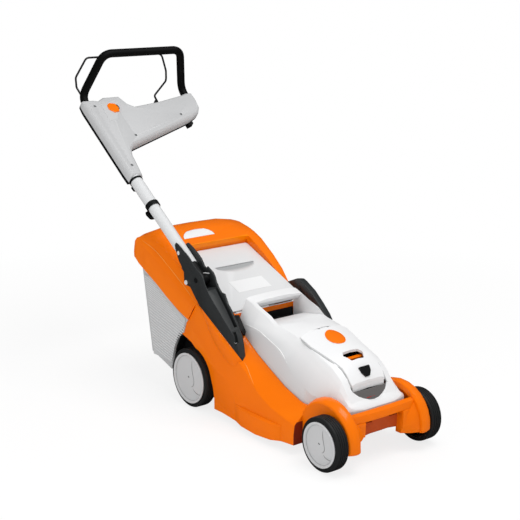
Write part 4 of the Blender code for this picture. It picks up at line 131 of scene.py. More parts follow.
bpy.ops.mesh.primitive_plane_add(size=FLOOR_SIZE, location=(0, 0, 0))
floor = bpy.context.object
floor.name = "studio_floor"
paper = bpy.data.materials.new("studio_paper")
paper.use_nodes = True
start = Wire(paper.node_tree)
ray = start.node("ShaderNodeLightPath", {}, {}, "Is Camera Ray")
spot = start.node("ShaderNodeNewGeometry", {}, {}, "Position")
away = start.node("ShaderNodeVectorMath", {"operation": "LENGTH"}, {0: spot}, "Value")
far = start.node("ShaderNodeMapRange", {}, {0: away, 1: SHADOW_REACH, 2: SHADOW_REACH + FADE_LENGTH})
plain = start.node("ShaderNodeBsdfDiffuse", {}, {"Color": PAPER_COLOUR})
white = start.node("ShaderNodeEmission", {}, {"Color": WHITE, "Strength": 1.0})
share = far * (1 - FLOOR_SHOWS_WHITE) + FLOOR_SHOWS_WHITE
shine = start.node("ShaderNodeLightPath", {}, {}, "Is Glossy Ray")
dim_colour = (FLOOR_IN_GLOSS, FLOOR_IN_GLOSS, FLOOR_IN_GLOSS, 1)
dim = start.node("ShaderNodeBsdfDiffuse", {}, {"Color": dim_colour})
laid = start.node("ShaderNodeMixShader", {}, {0: shine, 1: plain, 2: dim})
shown = start.node("ShaderNodeMixShader", {}, {0: ray * share, 1: laid, 2: white})
paper.node_tree.links.new(shown.socket, paper.node_tree.nodes["Material Output"].inputs["Surface"])
floor.data.materials.append(paper)

world = bpy.data.worlds.new("studio_world")
bpy.context.scene.world = world
world.use_nodes = True
sky = Wire(world.node_tree)
camera_ray = sky.node("ShaderNodeLightPath", {}, {}, "Is Camera Ray")
glossy_ray = sky.node("ShaderNodeLightPath", {}, {}, "Is Glossy Ray")
through_ray = sky.node("ShaderNodeLightPath", {}, {}, "Is Transmission Ray")
seen = sky.sum("MAXIMUM", camera_ray, through_ray)
backdrop = world.node_tree.nodes["Background"]
level = seen * (1 - WORLD_LIGHT) - glossy_ray * (WORLD_LIGHT - WORLD_IN_GLOSS) + WORLD_LIGHT
world.node_tree.links.new(level.socket, backdrop.inputs["Strength"])
backdrop.inputs["Color"].default_value = WHITE


def softbox(name, at, look_at, width, height, power):
    bpy.ops.object.light_add(type="AREA", location=at)
    lamp = bpy.context.object
    lamp.name = name
    lamp.data.shape = "RECTANGLE"
    lamp.data.size = width
    lamp.data.size_y = height
    lamp.data.energy = power
    lamp.rotation_euler = (Vector(look_at) - Vector(at)).to_track_quat("-Z", "Y").to_euler()
    return lamp


softbox("overhead_box", (0.3, -1.1, 3.1), (0.0, 0.0, 0.2), 1.9, 1.5, OVERHEAD_POWER)
fill = softbox("left_fill", (-3.2, -0.6, 1.5), (0.0, 0.0, 0.3), 2.0, 2.0, FILL_POWER)
fill.visible_glossy = False

# Deck housing: the mower's chassis, one large injection moulding of coloured plastic with a glossy
# outer skin. Wheels, hood, flap and grass box are all carried by it. The pigment drifts a little
# over a panel, the mould leaves a fine grain, and corners are a shade lighter where they are thin.
ORANGE = (0.900, 0.172, 0.0)
# Painted shade: a darker orange for the nose's recessed panel and a near-black orange for the deck's walls
# beside the front wheels.
SHADED_ORANGE = (0.50, 0.075, 0.012)
ARCH_SHADE_ORANGE = (0.20, 0.022, 0.008)
# Painted highlight: a paler orange for the fine lines along the wing's and the cover's creases.
HIGHLIGHT_ORANGE = (0.960, 0.330, 0.050)
NOSE_RECESS = ((-0.0665, -0.606, 0.060), (0.0665, -0.575, 0.1195))
ARCH_SHADE_X = ((-0.187, -0.146), (0.146, 0.187))
ARCH_SHADE_Y = (-0.4415, -0.4385)
ARCH_SHADE_Z = (0.010, 0.094)
FLARE_FOOT = ((-0.1135, -0.660, 0.020), (-0.0665, -0.500, 0.0800))
WING_CREASE = (
    (-0.1641, -0.2022, 0.1993),
    (-0.1656, -0.2180, 0.1891),
    (-0.1689, -0.2361, 0.1712),
    (-0.1722, -0.2587, 0.1489),
)
CLOUD_SCALE = 7.0
RUB_SCALE = 26.0
RUB_SPREAD = 0.16
EDGE_SPREAD = 0.06
GRAIN_DEPTH = 0.0004
COAT_ROUGHNESS = 0.12
CORNER_BEGINS = 0.515
CORNER_FULL = 0.60
CORNER_SHOWS = 0.6
CORNER_GAIN = 1.14
CORNER_PALEST = 0.95
WELD_DISTANCE = 0.00002
FLAT_ANGLE = 0.5


def within(low, high, soft=0.0004):
    """A mask that is one inside the box from low to high and zero outside, its faces that soft."""

    def mask(at):
        inside = None
        for axis in range(3):
            value = at.node("ShaderNodeSeparateXYZ", {}, {"Vector": at}, axis)
            enters = at.node("ShaderNodeMapRange", {}, {0: value, 1: low[axis], 2: low[axis] + soft})
            fades = {0: value, 1: high[axis] - soft, 2: high[axis], 3: 1.0, 4: 0.0}
            leaves = at.node("ShaderNodeMapRange", {}, fades)
            inside = inside * enters * leaves if inside else enters * leaves
        return inside

    return mask


def blended(start, factor, under, over):
    return start.node("ShaderNodeMix", {"data_type": "RGBA"}, {0: factor, 6: under, 7: over}, 2)


def moulded(
    name, colour, roughness, grain=0.05, fineness=1500, drift=0.02, coat=0.0, specular=0.30, patches=()
):
    """A moulded or coated finish. Each patch is a mask over the piece and the tint it shows there."""
    made = bpy.data.materials.new(name)
    made.use_nodes = True
    shader = made.node_tree.nodes["Principled BSDF"]
    shader.inputs["Specular IOR Level"].default_value = specular
    shader.inputs["Coat Weight"].default_value = coat
    shader.inputs["Coat Roughness"].default_value = COAT_ROUGHNESS
    start = Wire(made.node_tree)
    at = start.node("ShaderNodeTexCoord", {}, {}, "Object")
    cloud = start.node("ShaderNodeTexNoise", {}, {"Vector": at, "Scale": CLOUD_SCALE, "Detail": 4.0}, "Fac")
    fine = start.node("ShaderNodeTexNoise", {}, {"Vector": at, "Scale": fineness, "Detail": 2.0}, "Fac")
    rubbing = {"Vector": at, "Scale": RUB_SCALE, "Detail": 6.0, "Roughness": 0.7}
    rub = start.node("ShaderNodeTexNoise", {}, rubbing, "Fac")
    corner = start.node("ShaderNodeNewGeometry", {}, {}, "Pointiness")
    edge = start.node("ShaderNodeMapRange", {}, {0: corner, 1: CORNER_BEGINS, 2: CORNER_FULL})
    deep = tuple(c * (1 - drift) for c in colour)
    pale = tuple(min(1.0, c * (1 + drift)) for c in colour)
    worn = tuple(min(CORNER_PALEST, c * CORNER_GAIN) for c in colour)
    skin = blended(start, cloud, (*deep, 1), (*pale, 1))
    skin = blended(start, edge * CORNER_SHOWS, skin, (*worn, 1))
    for mask, tint in patches:
        skin = blended(start, mask(at), skin, (*tint, 1))
    dull = rub * RUB_SPREAD + (roughness - RUB_SPREAD / 2) + edge * EDGE_SPREAD
    relief = {"Strength": grain, "Distance": GRAIN_DEPTH, "Height": fine + cloud * 0.6}
    bump = start.node("ShaderNodeBump", {}, relief)
    for wire, socket in ((skin, "Base Color"), (dull, "Roughness"), (bump, "Normal")):
        made.node_tree.links.new(wire.socket, shader.inputs[socket])
    return made


def gloss_orange(name, patches=()):
    return moulded(name, ORANGE, roughness=0.38, drift=0.03, coat=0.30, specular=0.08, patches=patches)


def alone(piece):
    if bpy.context.object and bpy.context.object.mode != "OBJECT":
        bpy.ops.object.mode_set(mode="OBJECT")
    bpy.ops.object.select_all(action="DESELECT")
    piece.select_set(True)
    bpy.context.view_layer.objects.active = piece
    return piece


def body_of(node):
    return frame["nodes"][node]["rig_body"]


def rounded(node, material, corner, steps=2, sharp=36.0, smooth=34.0):
    """A frame node's shell as it leaves the mould: welded, with its corners rounded."""
    piece = bpy.data.objects.new(node + "_moulding", frame["nodes"][node].data.copy())
    bpy.context.scene.collection.objects.link(piece)
    alone(piece)
    piece.data.materials.clear()
    piece.data.materials.append(material)
    bpy.ops.object.mode_set(mode="EDIT")
    bpy.ops.mesh.select_all(action="SELECT")
    bpy.ops.mesh.customdata_custom_splitnormals_clear()
    bpy.ops.mesh.remove_doubles(threshold=WELD_DISTANCE)
    bpy.ops.mesh.dissolve_limited(angle_limit=radians(FLAT_ANGLE))
    bpy.ops.object.mode_set(mode="OBJECT")
    rim = piece.modifiers.new("corner", "BEVEL")
    rim.width = corner
    rim.segments = steps
    rim.limit_method = "ANGLE"
    rim.angle_limit = radians(sharp)
    rim.miter_outer = "MITER_ARC"
    rim.harden_normals = False
    bpy.ops.object.modifier_apply(modifier="corner")
    bpy.ops.object.shade_smooth_by_angle(angle=radians(smooth))
    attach(piece, body_of(node))
    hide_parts(node)
    return piece


def ridge(name, material, points, thick, tip):
    """A fine raised line along points, thinned to the tip's share at both ends, made a mesh."""
    bpy.ops.object.select_all(action="DESELECT")
    bpy.ops.curve.primitive_bezier_curve_add(location=(0, 0, 0))
    line = bpy.context.object
    line.name = name
    spline = line.data.splines[0]
    spline.bezier_points.add(len(points) - 2)
    for i, (knot, at) in enumerate(zip(spline.bezier_points, points)):
        knot.co = at
        knot.handle_left_type = knot.handle_right_type = "AUTO"
        knot.radius = tip if i in (0, len(points) - 1) else 1.0
    line.data.bevel_depth = thick
    line.data.bevel_resolution = 2
    line.data.use_fill_caps = True
    line.data.resolution_u = 8
    alone(line)
    bpy.ops.object.convert(target="MESH")
    line = bpy.context.object
    line.data.materials.append(material)
    bpy.ops.object.shade_smooth()
    return line


# Painted shade: the nose's recessed panel and the deck's wall beside each front wheel are tinted darker,
# for the shade that falls in them.
deck_patches = [(within(*NOSE_RECESS), SHADED_ORANGE)]
for low_x, high_x in ARCH_SHADE_X:
    arch_shade_low = (low_x, ARCH_SHADE_Y[0], ARCH_SHADE_Z[0])
    arch_shade_high = (high_x, ARCH_SHADE_Y[1], ARCH_SHADE_Z[1])
    deck_patches.append((within(arch_shade_low, arch_shade_high), ARCH_SHADE_ORANGE))
deck_plastic = gloss_orange("deck_orange_gloss", deck_patches)
deck = rounded("deck_housing", deck_plastic, corner=0.0012, sharp=28.0, smooth=24.0)

# The inner foot of the right front flare stops short of the ground beside its fender.
bpy.ops.object.select_all(action="DESELECT")
foot_low, foot_high = Vector(FLARE_FOOT[0]), Vector(FLARE_FOOT[1])
bpy.ops.mesh.primitive_cube_add(size=1, location=(foot_low + foot_high) / 2, scale=foot_high - foot_low)
foot_tool = bpy.context.object
alone(deck)
foot_cut = deck.modifiers.new("foot", "BOOLEAN")
foot_cut.operation = "DIFFERENCE"
foot_cut.object = foot_tool
foot_cut.solver = "EXACT"
bpy.ops.object.modifier_apply(modifier="foot")
bpy.data.objects.remove(foot_tool)

# The wing's upper face breaks over its side below the bracket, and a fine raised line in a paler orange
# runs along the break: a painted highlight.
highlight_bead = moulded("cover_highlight_orange", HIGHLIGHT_ORANGE, roughness=0.34, grain=0.04, coat=0.2)
crease = ridge("wing_crease_right", highlight_bead, WING_CREASE, thick=0.0009, tip=0.2)
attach(crease, body_of("deck_housing"))

# Axles and height gear: two cranked steel axles under the deck and the long link between them,
# all zinc plated. The moulded lever on the left turns both, and the black carrier with its wheel
# guard is screwed to the deck round the rear one.
ZINC_GREY = (0.60, 0.61, 0.62)
BLACK = (0.007, 0.0075, 0.008)


def dressed(material, *nodes):
    """Frame nodes that are shown as they are, in their finish."""
    for node in nodes:
        mesh = frame["nodes"][node].data
        mesh.materials.clear()
        mesh.materials.append(material)


zinc = moulded("zinc_plate", ZINC_GREY, roughness=0.34, drift=0.05, specular=0.5)
black_plastic = moulded(
    "black_plastic_textured", BLACK, roughness=0.46, grain=0.14, fineness=1000, drift=0.25, specular=0.22
)
dressed(zinc, "rear_axle", "front_axle", "height_link")
dressed(black_plastic, "rear_axle_carrier", "height_lever")

# Cutter: the motor's can stands in the deck with its controller beside it, and its shaft carries
# a moulded blade holder. The painted steel blade is held under that by one zinc-plated bolt.
CHARCOAL = (0.028, 0.031, 0.032)
BLADE_BLACK = (0.05, 0.05, 0.055)
charcoal_plastic = moulded(
    "charcoal_plastic_textured",
    CHARCOAL,
    roughness=0.48,
    grain=0.14,
    fineness=1000,
    drift=0.15,
    specular=0.36,
)
blade_paint = moulded(
    "black_blade_paint", BLADE_BLACK, roughness=0.38, grain=0.2, fineness=900, drift=0.1, specular=0.5
)
dressed(charcoal_plastic, "motor")
dressed(black_plastic, "motor_controller", "blade_carrier")
dressed(blade_paint, "blade")
dressed(zinc, "blade_bolt")

# Wheels: each is a black moulded centre with spokes inside, a rubber tyre with four fine grooves
# round its tread, and a pale dished hub cap that is clipped on. The cap has a comma-shaped crease
# and a small release slot. The crease and a thin ring in the dish are drawn in a darker grey: painted
# shade.
TYRE_RUBBER = (0.016, 0.017, 0.0175)
CAP_GREY = (0.560, 0.565, 0.572)
FOLD_SHADE_GREY = (0.300, 0.303, 0.306)
TYRE_MIDDLE_X = 0.171
WHEEL_SIZES = {"front": (-0.5595, 0.0745284, 0.0745), "rear": (0.0355, 0.0894341, 0.0894)}
TYRE_HEIGHT = 0.0135
TREAD_GROOVES = (-0.0102, -0.0034, 0.0034, 0.0102)
GROOVE_HALF = 0.0012
GROOVE_FLOOR_HALF = 0.0007
GROOVE_DEPTH = 0.0015
TREAD_SHOULDER = ((0.0145, 0.0001), (0.0166, 0.0009), (0.0182, 0.0026), (0.0189, 0.0055))
TYRE_WALL = ((0.0190, 0.0050), (0.0186, 0.0012), (0.0172, 0.0))
HUB_RADIUS = 0.0145
SPOKES = 8
SPOKE_ROOT = 0.0120
SPOKE_SET_BACK = 0.0040
SPOKE_WIDTH = 0.0235
SPOKE_THICK = 0.0046
SPOKE_EDGE = 0.0011
CAP_OVERLAP = 0.0008
CAP_FACE = 0.0184
RING_INSET = 0.0080
RING_THICK = 0.0007
CREASE_INSET = 0.012
CREASE_REACH = 1.16
CREASE_OUT = 0.0176
CREASE_TIP = 0.15
CAP_CREASE = ((0.18, 0.74), (0.195, 0.44), (0.28, 0.12), (0.325, -0.10), (0.25, -0.27), (0.08, -0.36))
CAP_SWEEP = ((0.20, -0.34), (0.33, -0.46), (0.52, -0.53), (0.82, -0.50))
CAP_LINES = ((CAP_CREASE, 0.0015), (CAP_SWEEP, 0.0011))
RELEASE_SIZE = (0.0014, 0.0062, 0.0022)
RELEASE_OFF = (0.002, 0.0030)
RELEASE_TURN = 32
RELEASE_EDGE = 0.0003
ROUND_WELD = 0.00001
ROUND_SMOOTH = 38

tyre_rubber = moulded("tyre_rubber_matt", TYRE_RUBBER, roughness=0.55, grain=0.30, fineness=800, drift=0.30)
cap_plastic = moulded("hub_cap_plastic", CAP_GREY, roughness=0.42, specular=0.35)
# Painted shade: a darker grey for the hub caps' creases and the ring in their dish.
crease_shade_plastic = moulded("hub_cap_painted_shade", FOLD_SHADE_GREY, roughness=0.42, specular=0.35)


def joined_pieces(name, parts):
    alone(parts[0])
    for part in parts[1:]:
        part.select_set(True)
    bpy.ops.object.join()
    whole = bpy.context.object
    whole.name = name
    return whole


def spun(name, material, outline, centre, side, steps=96):
    """A round piece: half its outline drawn a point at a time, then spun about the axle."""
    bpy.ops.object.select_all(action="DESELECT")
    bpy.ops.mesh.primitive_plane_add(size=0.01, location=(0, 0, 0))
    piece = bpy.context.object
    piece.name = name
    bpy.ops.object.mode_set(mode="EDIT")
    bpy.ops.mesh.select_all(action="SELECT")
    bpy.ops.mesh.merge(type="CENTER")
    out, r = outline[0]
    bpy.ops.transform.translate(value=(centre[0] + side * out, centre[1], centre[2] + r))
    for (out_a, r_a), (out_b, r_b) in zip(outline, outline[1:]):
        step = (side * (out_b - out_a), 0, r_b - r_a)
        bpy.ops.mesh.extrude_region_move(TRANSFORM_OT_translate={"value": step})
    bpy.ops.mesh.select_all(action="SELECT")
    bpy.ops.mesh.spin(steps=steps, angle=2 * pi, use_auto_merge=True, center=centre, axis=(1, 0, 0))
    bpy.ops.mesh.select_all(action="SELECT")
    bpy.ops.mesh.remove_doubles(threshold=ROUND_WELD)
    bpy.ops.mesh.normals_make_consistent(inside=False)
    bpy.ops.object.mode_set(mode="OBJECT")
    piece.data.materials.append(material)
    bpy.ops.object.shade_smooth_by_angle(angle=radians(ROUND_SMOOTH))
    return piece


def block(material, at, turned, size, edge=0.0):
    """A box at its place, turned as told, with broken edges where an edge is given."""
    bpy.ops.object.select_all(action="DESELECT")
    bpy.ops.mesh.primitive_cube_add(size=1, location=at, rotation=turned, scale=size)
    piece = bpy.context.object
    bpy.ops.object.transform_apply(location=True, rotation=True, scale=True)
    if edge:
        bpy.ops.object.mode_set(mode="EDIT")
        bpy.ops.mesh.select_all(action="SELECT")
        bpy.ops.mesh.bevel(offset=edge, segments=2, affect="EDGES")
        bpy.ops.object.mode_set(mode="OBJECT")
    piece.data.materials.append(material)
    return piece


def tyre_outline(radius, bead):
    half = [(out, radius - below) for out, below in TREAD_SHOULDER]
    half += [(out, bead + above) for out, above in TYRE_WALL]
    outline = [(-out, r) for out, r in reversed(half)]
    for groove in TREAD_GROOVES:
        floor_r = radius - GROOVE_DEPTH
        outline += [(groove - GROOVE_HALF, radius), (groove - GROOVE_FLOOR_HALF, floor_r)]
        outline += [(groove + GROOVE_FLOOR_HALF, floor_r), (groove + GROOVE_HALF, radius)]
    outline += half
    return outline + outline[:1]


def wheel_centre(name, centre, side, bead):
    """Rim, web and hub in one turned form, with the spokes standing on the inside."""
    rim = [(-0.0180, bead), (-0.0184, bead - 0.0010), (-0.0180, bead - 0.0030), (0.0080, bead - 0.0042)]
    rim += [(0.0096, HUB_RADIUS), (-0.0085, 0.0125), (-0.0090, 0.0115), (-0.0090, 0.0064)]
    rim += [(0.0150, 0.0064), (0.0150, 0.0150), (0.0125, bead - 0.0040)]
    rim += [(0.0160, bead - 0.0010), (0.0160, bead), (-0.0180, bead)]
    parts = [spun(name + "_hub", black_plastic, rim, centre, side, steps=72)]
    length = bead - HUB_RADIUS
    reach = SPOKE_ROOT + length / 2
    for k in range(SPOKES):
        turn = 2 * pi * (k + 0.5) / SPOKES
        spoke_x = centre[0] - side * SPOKE_SET_BACK
        at = (spoke_x, centre[1] + reach * sin(turn), centre[2] + reach * cos(turn))
        size = (SPOKE_WIDTH, SPOKE_THICK, length)
        parts.append(block(black_plastic, at, (-turn, 0, 0), size, SPOKE_EDGE))
    whole = joined_pieces(name, parts)
    bpy.ops.object.shade_smooth_by_angle(angle=radians(ROUND_SMOOTH))
    return whole


def hub_cap(name, centre, side, big):
    """A bright rolled rim, a soft step down to the dish, and a thin ring and creases in a darker grey:
    painted shade.
    """
    cap = [(0.0152, 0.0), (0.0152, big - 0.004), (0.0191, big - 0.0012), (0.0198, big), (0.0214, big)]
    cap += [(0.0226, big - 0.0008), (0.0231, big - 0.0024), (0.0230, big - 0.0046)]
    cap += [(0.0219, big - 0.0060), (0.0182, big - 0.0082), (0.0170, big - 0.0104)]
    cap += [(0.0168, big - 0.0150), (0.0176, big * 0.55), (0.0182, big * 0.30)]
    cap += [(CAP_FACE, 0.0100), (0.0185, 0.0)]
    parts = [spun(name + "_dish", cap_plastic, cap, centre, side)]
    bpy.ops.object.select_all(action="DESELECT")
    bpy.ops.mesh.primitive_torus_add(
        location=(centre[0] + side * CAP_FACE, centre[1], centre[2]),
        rotation=(0, pi / 2, 0),
        major_radius=big - RING_INSET,
        minor_radius=RING_THICK,
        major_segments=96,
        minor_segments=6,
    )
    ring = bpy.context.object
    bpy.ops.object.transform_apply(location=True, rotation=True, scale=True)
    ring.data.materials.append(crease_shade_plastic)
    parts.append(ring)
    over = (big - CREASE_INSET) * CREASE_REACH
    crease_x = centre[0] + side * CREASE_OUT
    for points, thick in CAP_LINES:
        line = [(crease_x, centre[1] - p * over, centre[2] + q * over) for p, q in points]
        parts.append(ridge(name + "_fold", crease_shade_plastic, line, thick, CREASE_TIP))
    whole = joined_pieces(name, parts)
    bpy.ops.object.shade_smooth_by_angle(angle=radians(ROUND_SMOOTH))
    return whole


for end in ("front", "rear"):
    for hand, side in (("right", -1), ("left", 1)):
        y, z, radius = WHEEL_SIZES[end]
        centre = (side * TYRE_MIDDLE_X, y, z)
        bead = radius - TYRE_HEIGHT
        body = f"wheel_{end}_{hand}"
        tyre = spun(f"{end}_tyre_{hand}", tyre_rubber, tyre_outline(radius, bead), centre, side)
        spoked = wheel_centre(f"{end}_wheel_centre_{hand}", centre, side, bead)
        cap = hub_cap(f"{end}_hub_cap_{hand}", centre, side, bead + CAP_OVERLAP)
        release_at = (centre[0] + side * CAP_FACE, y + RELEASE_OFF[0], z + RELEASE_OFF[1])
        release_turned = (radians(RELEASE_TURN), 0, 0)
        release = block(black_plastic, release_at, release_turned, RELEASE_SIZE, RELEASE_EDGE)
        release.name = f"{end}_cap_{hand}_release"
        for piece in (tyre, spoked, cap, release):
            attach(piece, body)
        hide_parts(f"{end}_wheel_{hand}")
        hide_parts(f"{end}_wheel_{hand}_cap")

# Hood: a pale injection moulding that covers the motor and is clipped to the deck. Its tower's
# side faces turn into the shoulders along one crisp line, traced by a fine ridge in a paler white as a
# painted highlight. Its sides and its front lip's lower face are tinted a darker grey: painted shade.
PALE_GREY = (0.800, 0.802, 0.808)
HOOD_LIP_SHADE = (0.620, 0.622, 0.626)
HOOD_SIDE_SHADE = (0.600, 0.604, 0.610)
CREASE_HIGHLIGHT = (0.900, 0.902, 0.905)
HOOD_LIP = ((-0.120, -0.610, 0.130), (0.120, -0.545, 0.1485))
HOOD_LIP_SOFT = 0.0020
HOOD_SIDE_X = ((-0.200, -0.094), (0.094, 0.200))
HOOD_SIDE_Y = (-0.540, -0.080)
HOOD_SIDE_Z = (0.050, 0.300)
HOOD_SIDE_SOFT = 0.026
HOOD_CREASE = (
    (-0.1167, -0.1356, 0.2888),
    (-0.1157, -0.1672, 0.2874),
    (-0.1136, -0.2016, 0.2837),
    (-0.1139, -0.2362, 0.2735),
    (-0.1148, -0.2711, 0.2619),
    (-0.1134, -0.2916, 0.2539),
    (-0.1132, -0.3135, 0.2393),
    (-0.1145, -0.3327, 0.2215),
)


def gloss_pale(name, patches=()):
    return moulded(name, PALE_GREY, roughness=0.38, patches=patches)


# Painted shade: the front lip's lower face and the hood's sides take a darker grey.
hood_patches = [(within(*HOOD_LIP, HOOD_LIP_SOFT), HOOD_LIP_SHADE)]
for low_x, high_x in HOOD_SIDE_X:
    side_low = (low_x, HOOD_SIDE_Y[0], HOOD_SIDE_Z[0])
    side_high = (high_x, HOOD_SIDE_Y[1], HOOD_SIDE_Z[1])
    hood_patches.append((within(side_low, side_high, HOOD_SIDE_SOFT), HOOD_SIDE_SHADE))
hood_plastic = gloss_pale("hood_pale_gloss", hood_patches)
rounded("hood", hood_plastic, corner=0.0010, sharp=22.0, smooth=17.0)
# Painted highlight: a fine ridge in a paler white than the hood along each crease.
highlight_white = moulded(
    "hood_crease_highlight", CREASE_HIGHLIGHT, roughness=0.36, grain=0.03, drift=0.01, specular=0.4
)
for side, hand in ((1, "right"), (-1, "left")):
    mirrored = [(side * x, y, z) for x, y, z in HOOD_CREASE]
    crease = ridge(f"hood_crease_{hand}", highlight_white, mirrored, thick=0.0011, tip=0.2)
    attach(crease, body_of("hood"))

# Carrying well: a black moulded tray pressed in under the carrying bar. It reaches up the rear
# wall of the recess, and only a strip of the deck's orange shows above it.
WELL_X = 0.0830
WELL_Y = -0.1172
WELL_FOOT_Z = 0.262
WELL_TOP_Z = 0.2985
WELL_WALL = 0.0024
WELL_EDGE = 0.0004


def plate(name, material, corners, thick, rim, body):
    """A flat plate through its corners, as thick as told, with its edges broken."""
    bpy.ops.object.select_all(action="DESELECT")
    bpy.ops.mesh.primitive_circle_add(vertices=len(corners), fill_type="NGON", location=(0, 0, 0))
    piece = bpy.context.object
    piece.name = name
    for vertex, corner in zip(piece.data.vertices, corners):
        vertex.co = corner
    piece.data.materials.append(material)
    skin = piece.modifiers.new("skin", "SOLIDIFY")
    skin.thickness = thick
    skin.offset = 0.0
    bpy.ops.object.modifier_apply(modifier="skin")
    edge = piece.modifiers.new("edge", "BEVEL")
    edge.width = rim
    edge.segments = 2
    bpy.ops.object.modifier_apply(modifier="edge")
    bpy.ops.object.mode_set(mode="EDIT")
    bpy.ops.mesh.select_all(action="SELECT")
    bpy.ops.mesh.normals_make_consistent(inside=False)
    bpy.ops.object.mode_set(mode="OBJECT")
    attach(piece, body)
    return piece


well_corners = [
    (-WELL_X, WELL_Y, WELL_FOOT_Z),
    (WELL_X, WELL_Y, WELL_FOOT_Z),
    (WELL_X, WELL_Y, WELL_TOP_Z),
    (-WELL_X, WELL_Y, WELL_TOP_Z),
]
well_body = body_of("carry_well")
plate("carry_well_back", black_plastic, well_corners, WELL_WALL, WELL_EDGE, well_body)
dressed(black_plastic, "carry_well")

# Battery and bay: the charcoal pack is pushed into a black moulded bay under the lid. An orange
# charge gauge stands on the pack below the lid's window.
GAUGE_CORNERS = (
    (-0.022, -0.4600, 0.2370),
    (-0.022, -0.4720, 0.2350),
    (0.044, -0.4720, 0.2350),
    (0.044, -0.4600, 0.2370),
)
GAUGE_DEPTH = 0.0290
GAUGE_EDGE = 0.0005
orange_plastic = gloss_orange("orange_plastic_gloss")
pack_body = body_of("battery_pack")
plate("battery_gauge", orange_plastic, GAUGE_CORNERS, GAUGE_DEPTH, GAUGE_EDGE, pack_body)
dressed(charcoal_plastic, "battery_pack")
dressed(black_plastic, "battery_bay")

# Front window: a smoked clear moulding snapped into the hood under the lid's front edge. The red
# foot of the battery's catch shows through at its lower edge.
WINDOW_SMOKE = (0.125, 0.118, 0.116)
CATCH_RED = (0.330, 0.018, 0.014)
CATCH_CORNERS = (
    (-0.030, -0.5590, 0.1600),
    (0.012, -0.5590, 0.1600),
    (0.006, -0.5562, 0.1665),
    (-0.022, -0.5562, 0.1665),
)
CATCH_THICK = 0.0020
CATCH_EDGE = 0.0004
smoked = moulded("smoked_window_plastic", WINDOW_SMOKE, roughness=0.20, grain=0.02, drift=0.1, specular=0.5)
catch_red = moulded("catch_red_plastic", CATCH_RED, roughness=0.40, drift=0.05)
dressed(smoked, "front_window")
window_body = body_of("front_window")
plate("battery_catch", catch_red, CATCH_CORNERS, CATCH_THICK, CATCH_EDGE, window_body)

# Battery lid: a pale moulding hinged on a zinc-plated pin at its rear edge and held by a black
# press latch, with a raised orange badge. A grey line along each side, set a little into the hood, is
# painted shade on the lid's side wall.
LID_SIDE_SHADE_GREY = (0.430, 0.434, 0.438)
RIM_THICK = 0.0021
RIM_SUNK = 0.0010
LID_RIM = (
    (-0.0300, -0.3452, 0.3040),
    (-0.0740, -0.3462, 0.2905),
    (-0.0818, -0.3560, 0.2880),
    (-0.0826, -0.3842, 0.2768),
    (-0.0768, -0.4256, 0.2637),
    (-0.0700, -0.4672, 0.2508),
    (-0.0630, -0.5015, 0.2361),
    (-0.0622, -0.5213, 0.2191),
    (-0.0606, -0.5350, 0.2002),
    (-0.0560, -0.5370, 0.1880),
)
pale_plastic = gloss_pale("pale_grey_plastic_gloss")
rounded("battery_lid", pale_plastic, corner=0.0034, steps=1, sharp=50.0, smooth=17.0)
rounded("lid_badge", orange_plastic, corner=0.0006)
wall_shade_grey = moulded("lid_rim_grey", LID_SIDE_SHADE_GREY, roughness=0.46, specular=0.20)
# Painted shade: a grey line along each side of the lid.
for side, hand in ((1, "right"), (-1, "left")):
    mirrored = [(side * x, y, z - RIM_SUNK) for x, y, z in LID_RIM]
    rim_line = ridge(f"lid_rim_{hand}", wall_shade_grey, mirrored, thick=RIM_THICK, tip=0.4)
    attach(rim_line, body_of("battery_lid"))
dressed(black_plastic, "lid_latch")
dressed(zinc, "lid_hinge_pin")

# Left fin: the deck's plain charcoal counterpart of the handle bracket, moulded in one piece and
# plugged into the left wing.
rounded("left_fin", charcoal_plastic, corner=0.0010)

# Handle bracket: one charcoal moulding that plugs into the deck's right wing and is held by a
# zinc-plated screw and bolt. Below its lower edge the deck's own orange skin closes over the
# socket, and a black web reaches from its inner face towards the hood.
BRACKET_EDGE = ((-0.197, -0.0268, 0.3349), (-0.197, -0.2364, 0.2198))
FLANGE_CORNERS = (
    (-0.1535, -0.1190, 0.3135),
    (-0.1185, -0.1180, 0.3085),
    (-0.1195, -0.1528, 0.2665),
    (-0.1280, -0.1560, 0.2570),
    (-0.1535, -0.1670, 0.2860),
)
FLANGE_THICK = 0.0030
FLANGE_EDGE = 0.0006
BRIGHT_ZINC = (0.70, 0.71, 0.72)
CATCH_LINE = ((-0.1808, -0.1795, 0.2538), (-0.1765, -0.1772, 0.2497), (-0.1705, -0.1790, 0.2512))
bracket = rounded("right_bracket", charcoal_plastic, corner=0.0010)
alone(bracket)
bpy.ops.object.duplicate()
socket_skin = bpy.context.object
socket_skin.name = "bracket_socket_skin"
edge_from, edge_to = Vector(BRACKET_EDGE[0]), Vector(BRACKET_EDGE[1])
plane_normal = (edge_from - Vector(CAMERA_AT)).cross(edge_to - Vector(CAMERA_AT)).normalized()
upward = plane_normal.z > 0
for piece, keeps_above in ((bracket, True), (socket_skin, False)):
    alone(piece)
    bpy.ops.object.mode_set(mode="EDIT")
    bpy.ops.mesh.select_all(action="SELECT")
    bpy.ops.mesh.bisect(
        plane_co=edge_from,
        plane_no=plane_normal,
        use_fill=True,
        clear_inner=keeps_above == upward,
        clear_outer=keeps_above != upward,
    )
    bpy.ops.object.mode_set(mode="OBJECT")
socket_skin.data.materials.clear()
socket_skin.data.materials.append(deck_plastic)
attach(socket_skin, body_of("right_bracket"))
bracket_body = body_of("right_bracket")
plate(
    "bracket_flange", black_plastic, FLANGE_CORNERS, FLANGE_THICK, FLANGE_EDGE, bracket_body
)
dressed(zinc, "bracket_screw", "bracket_bolt")

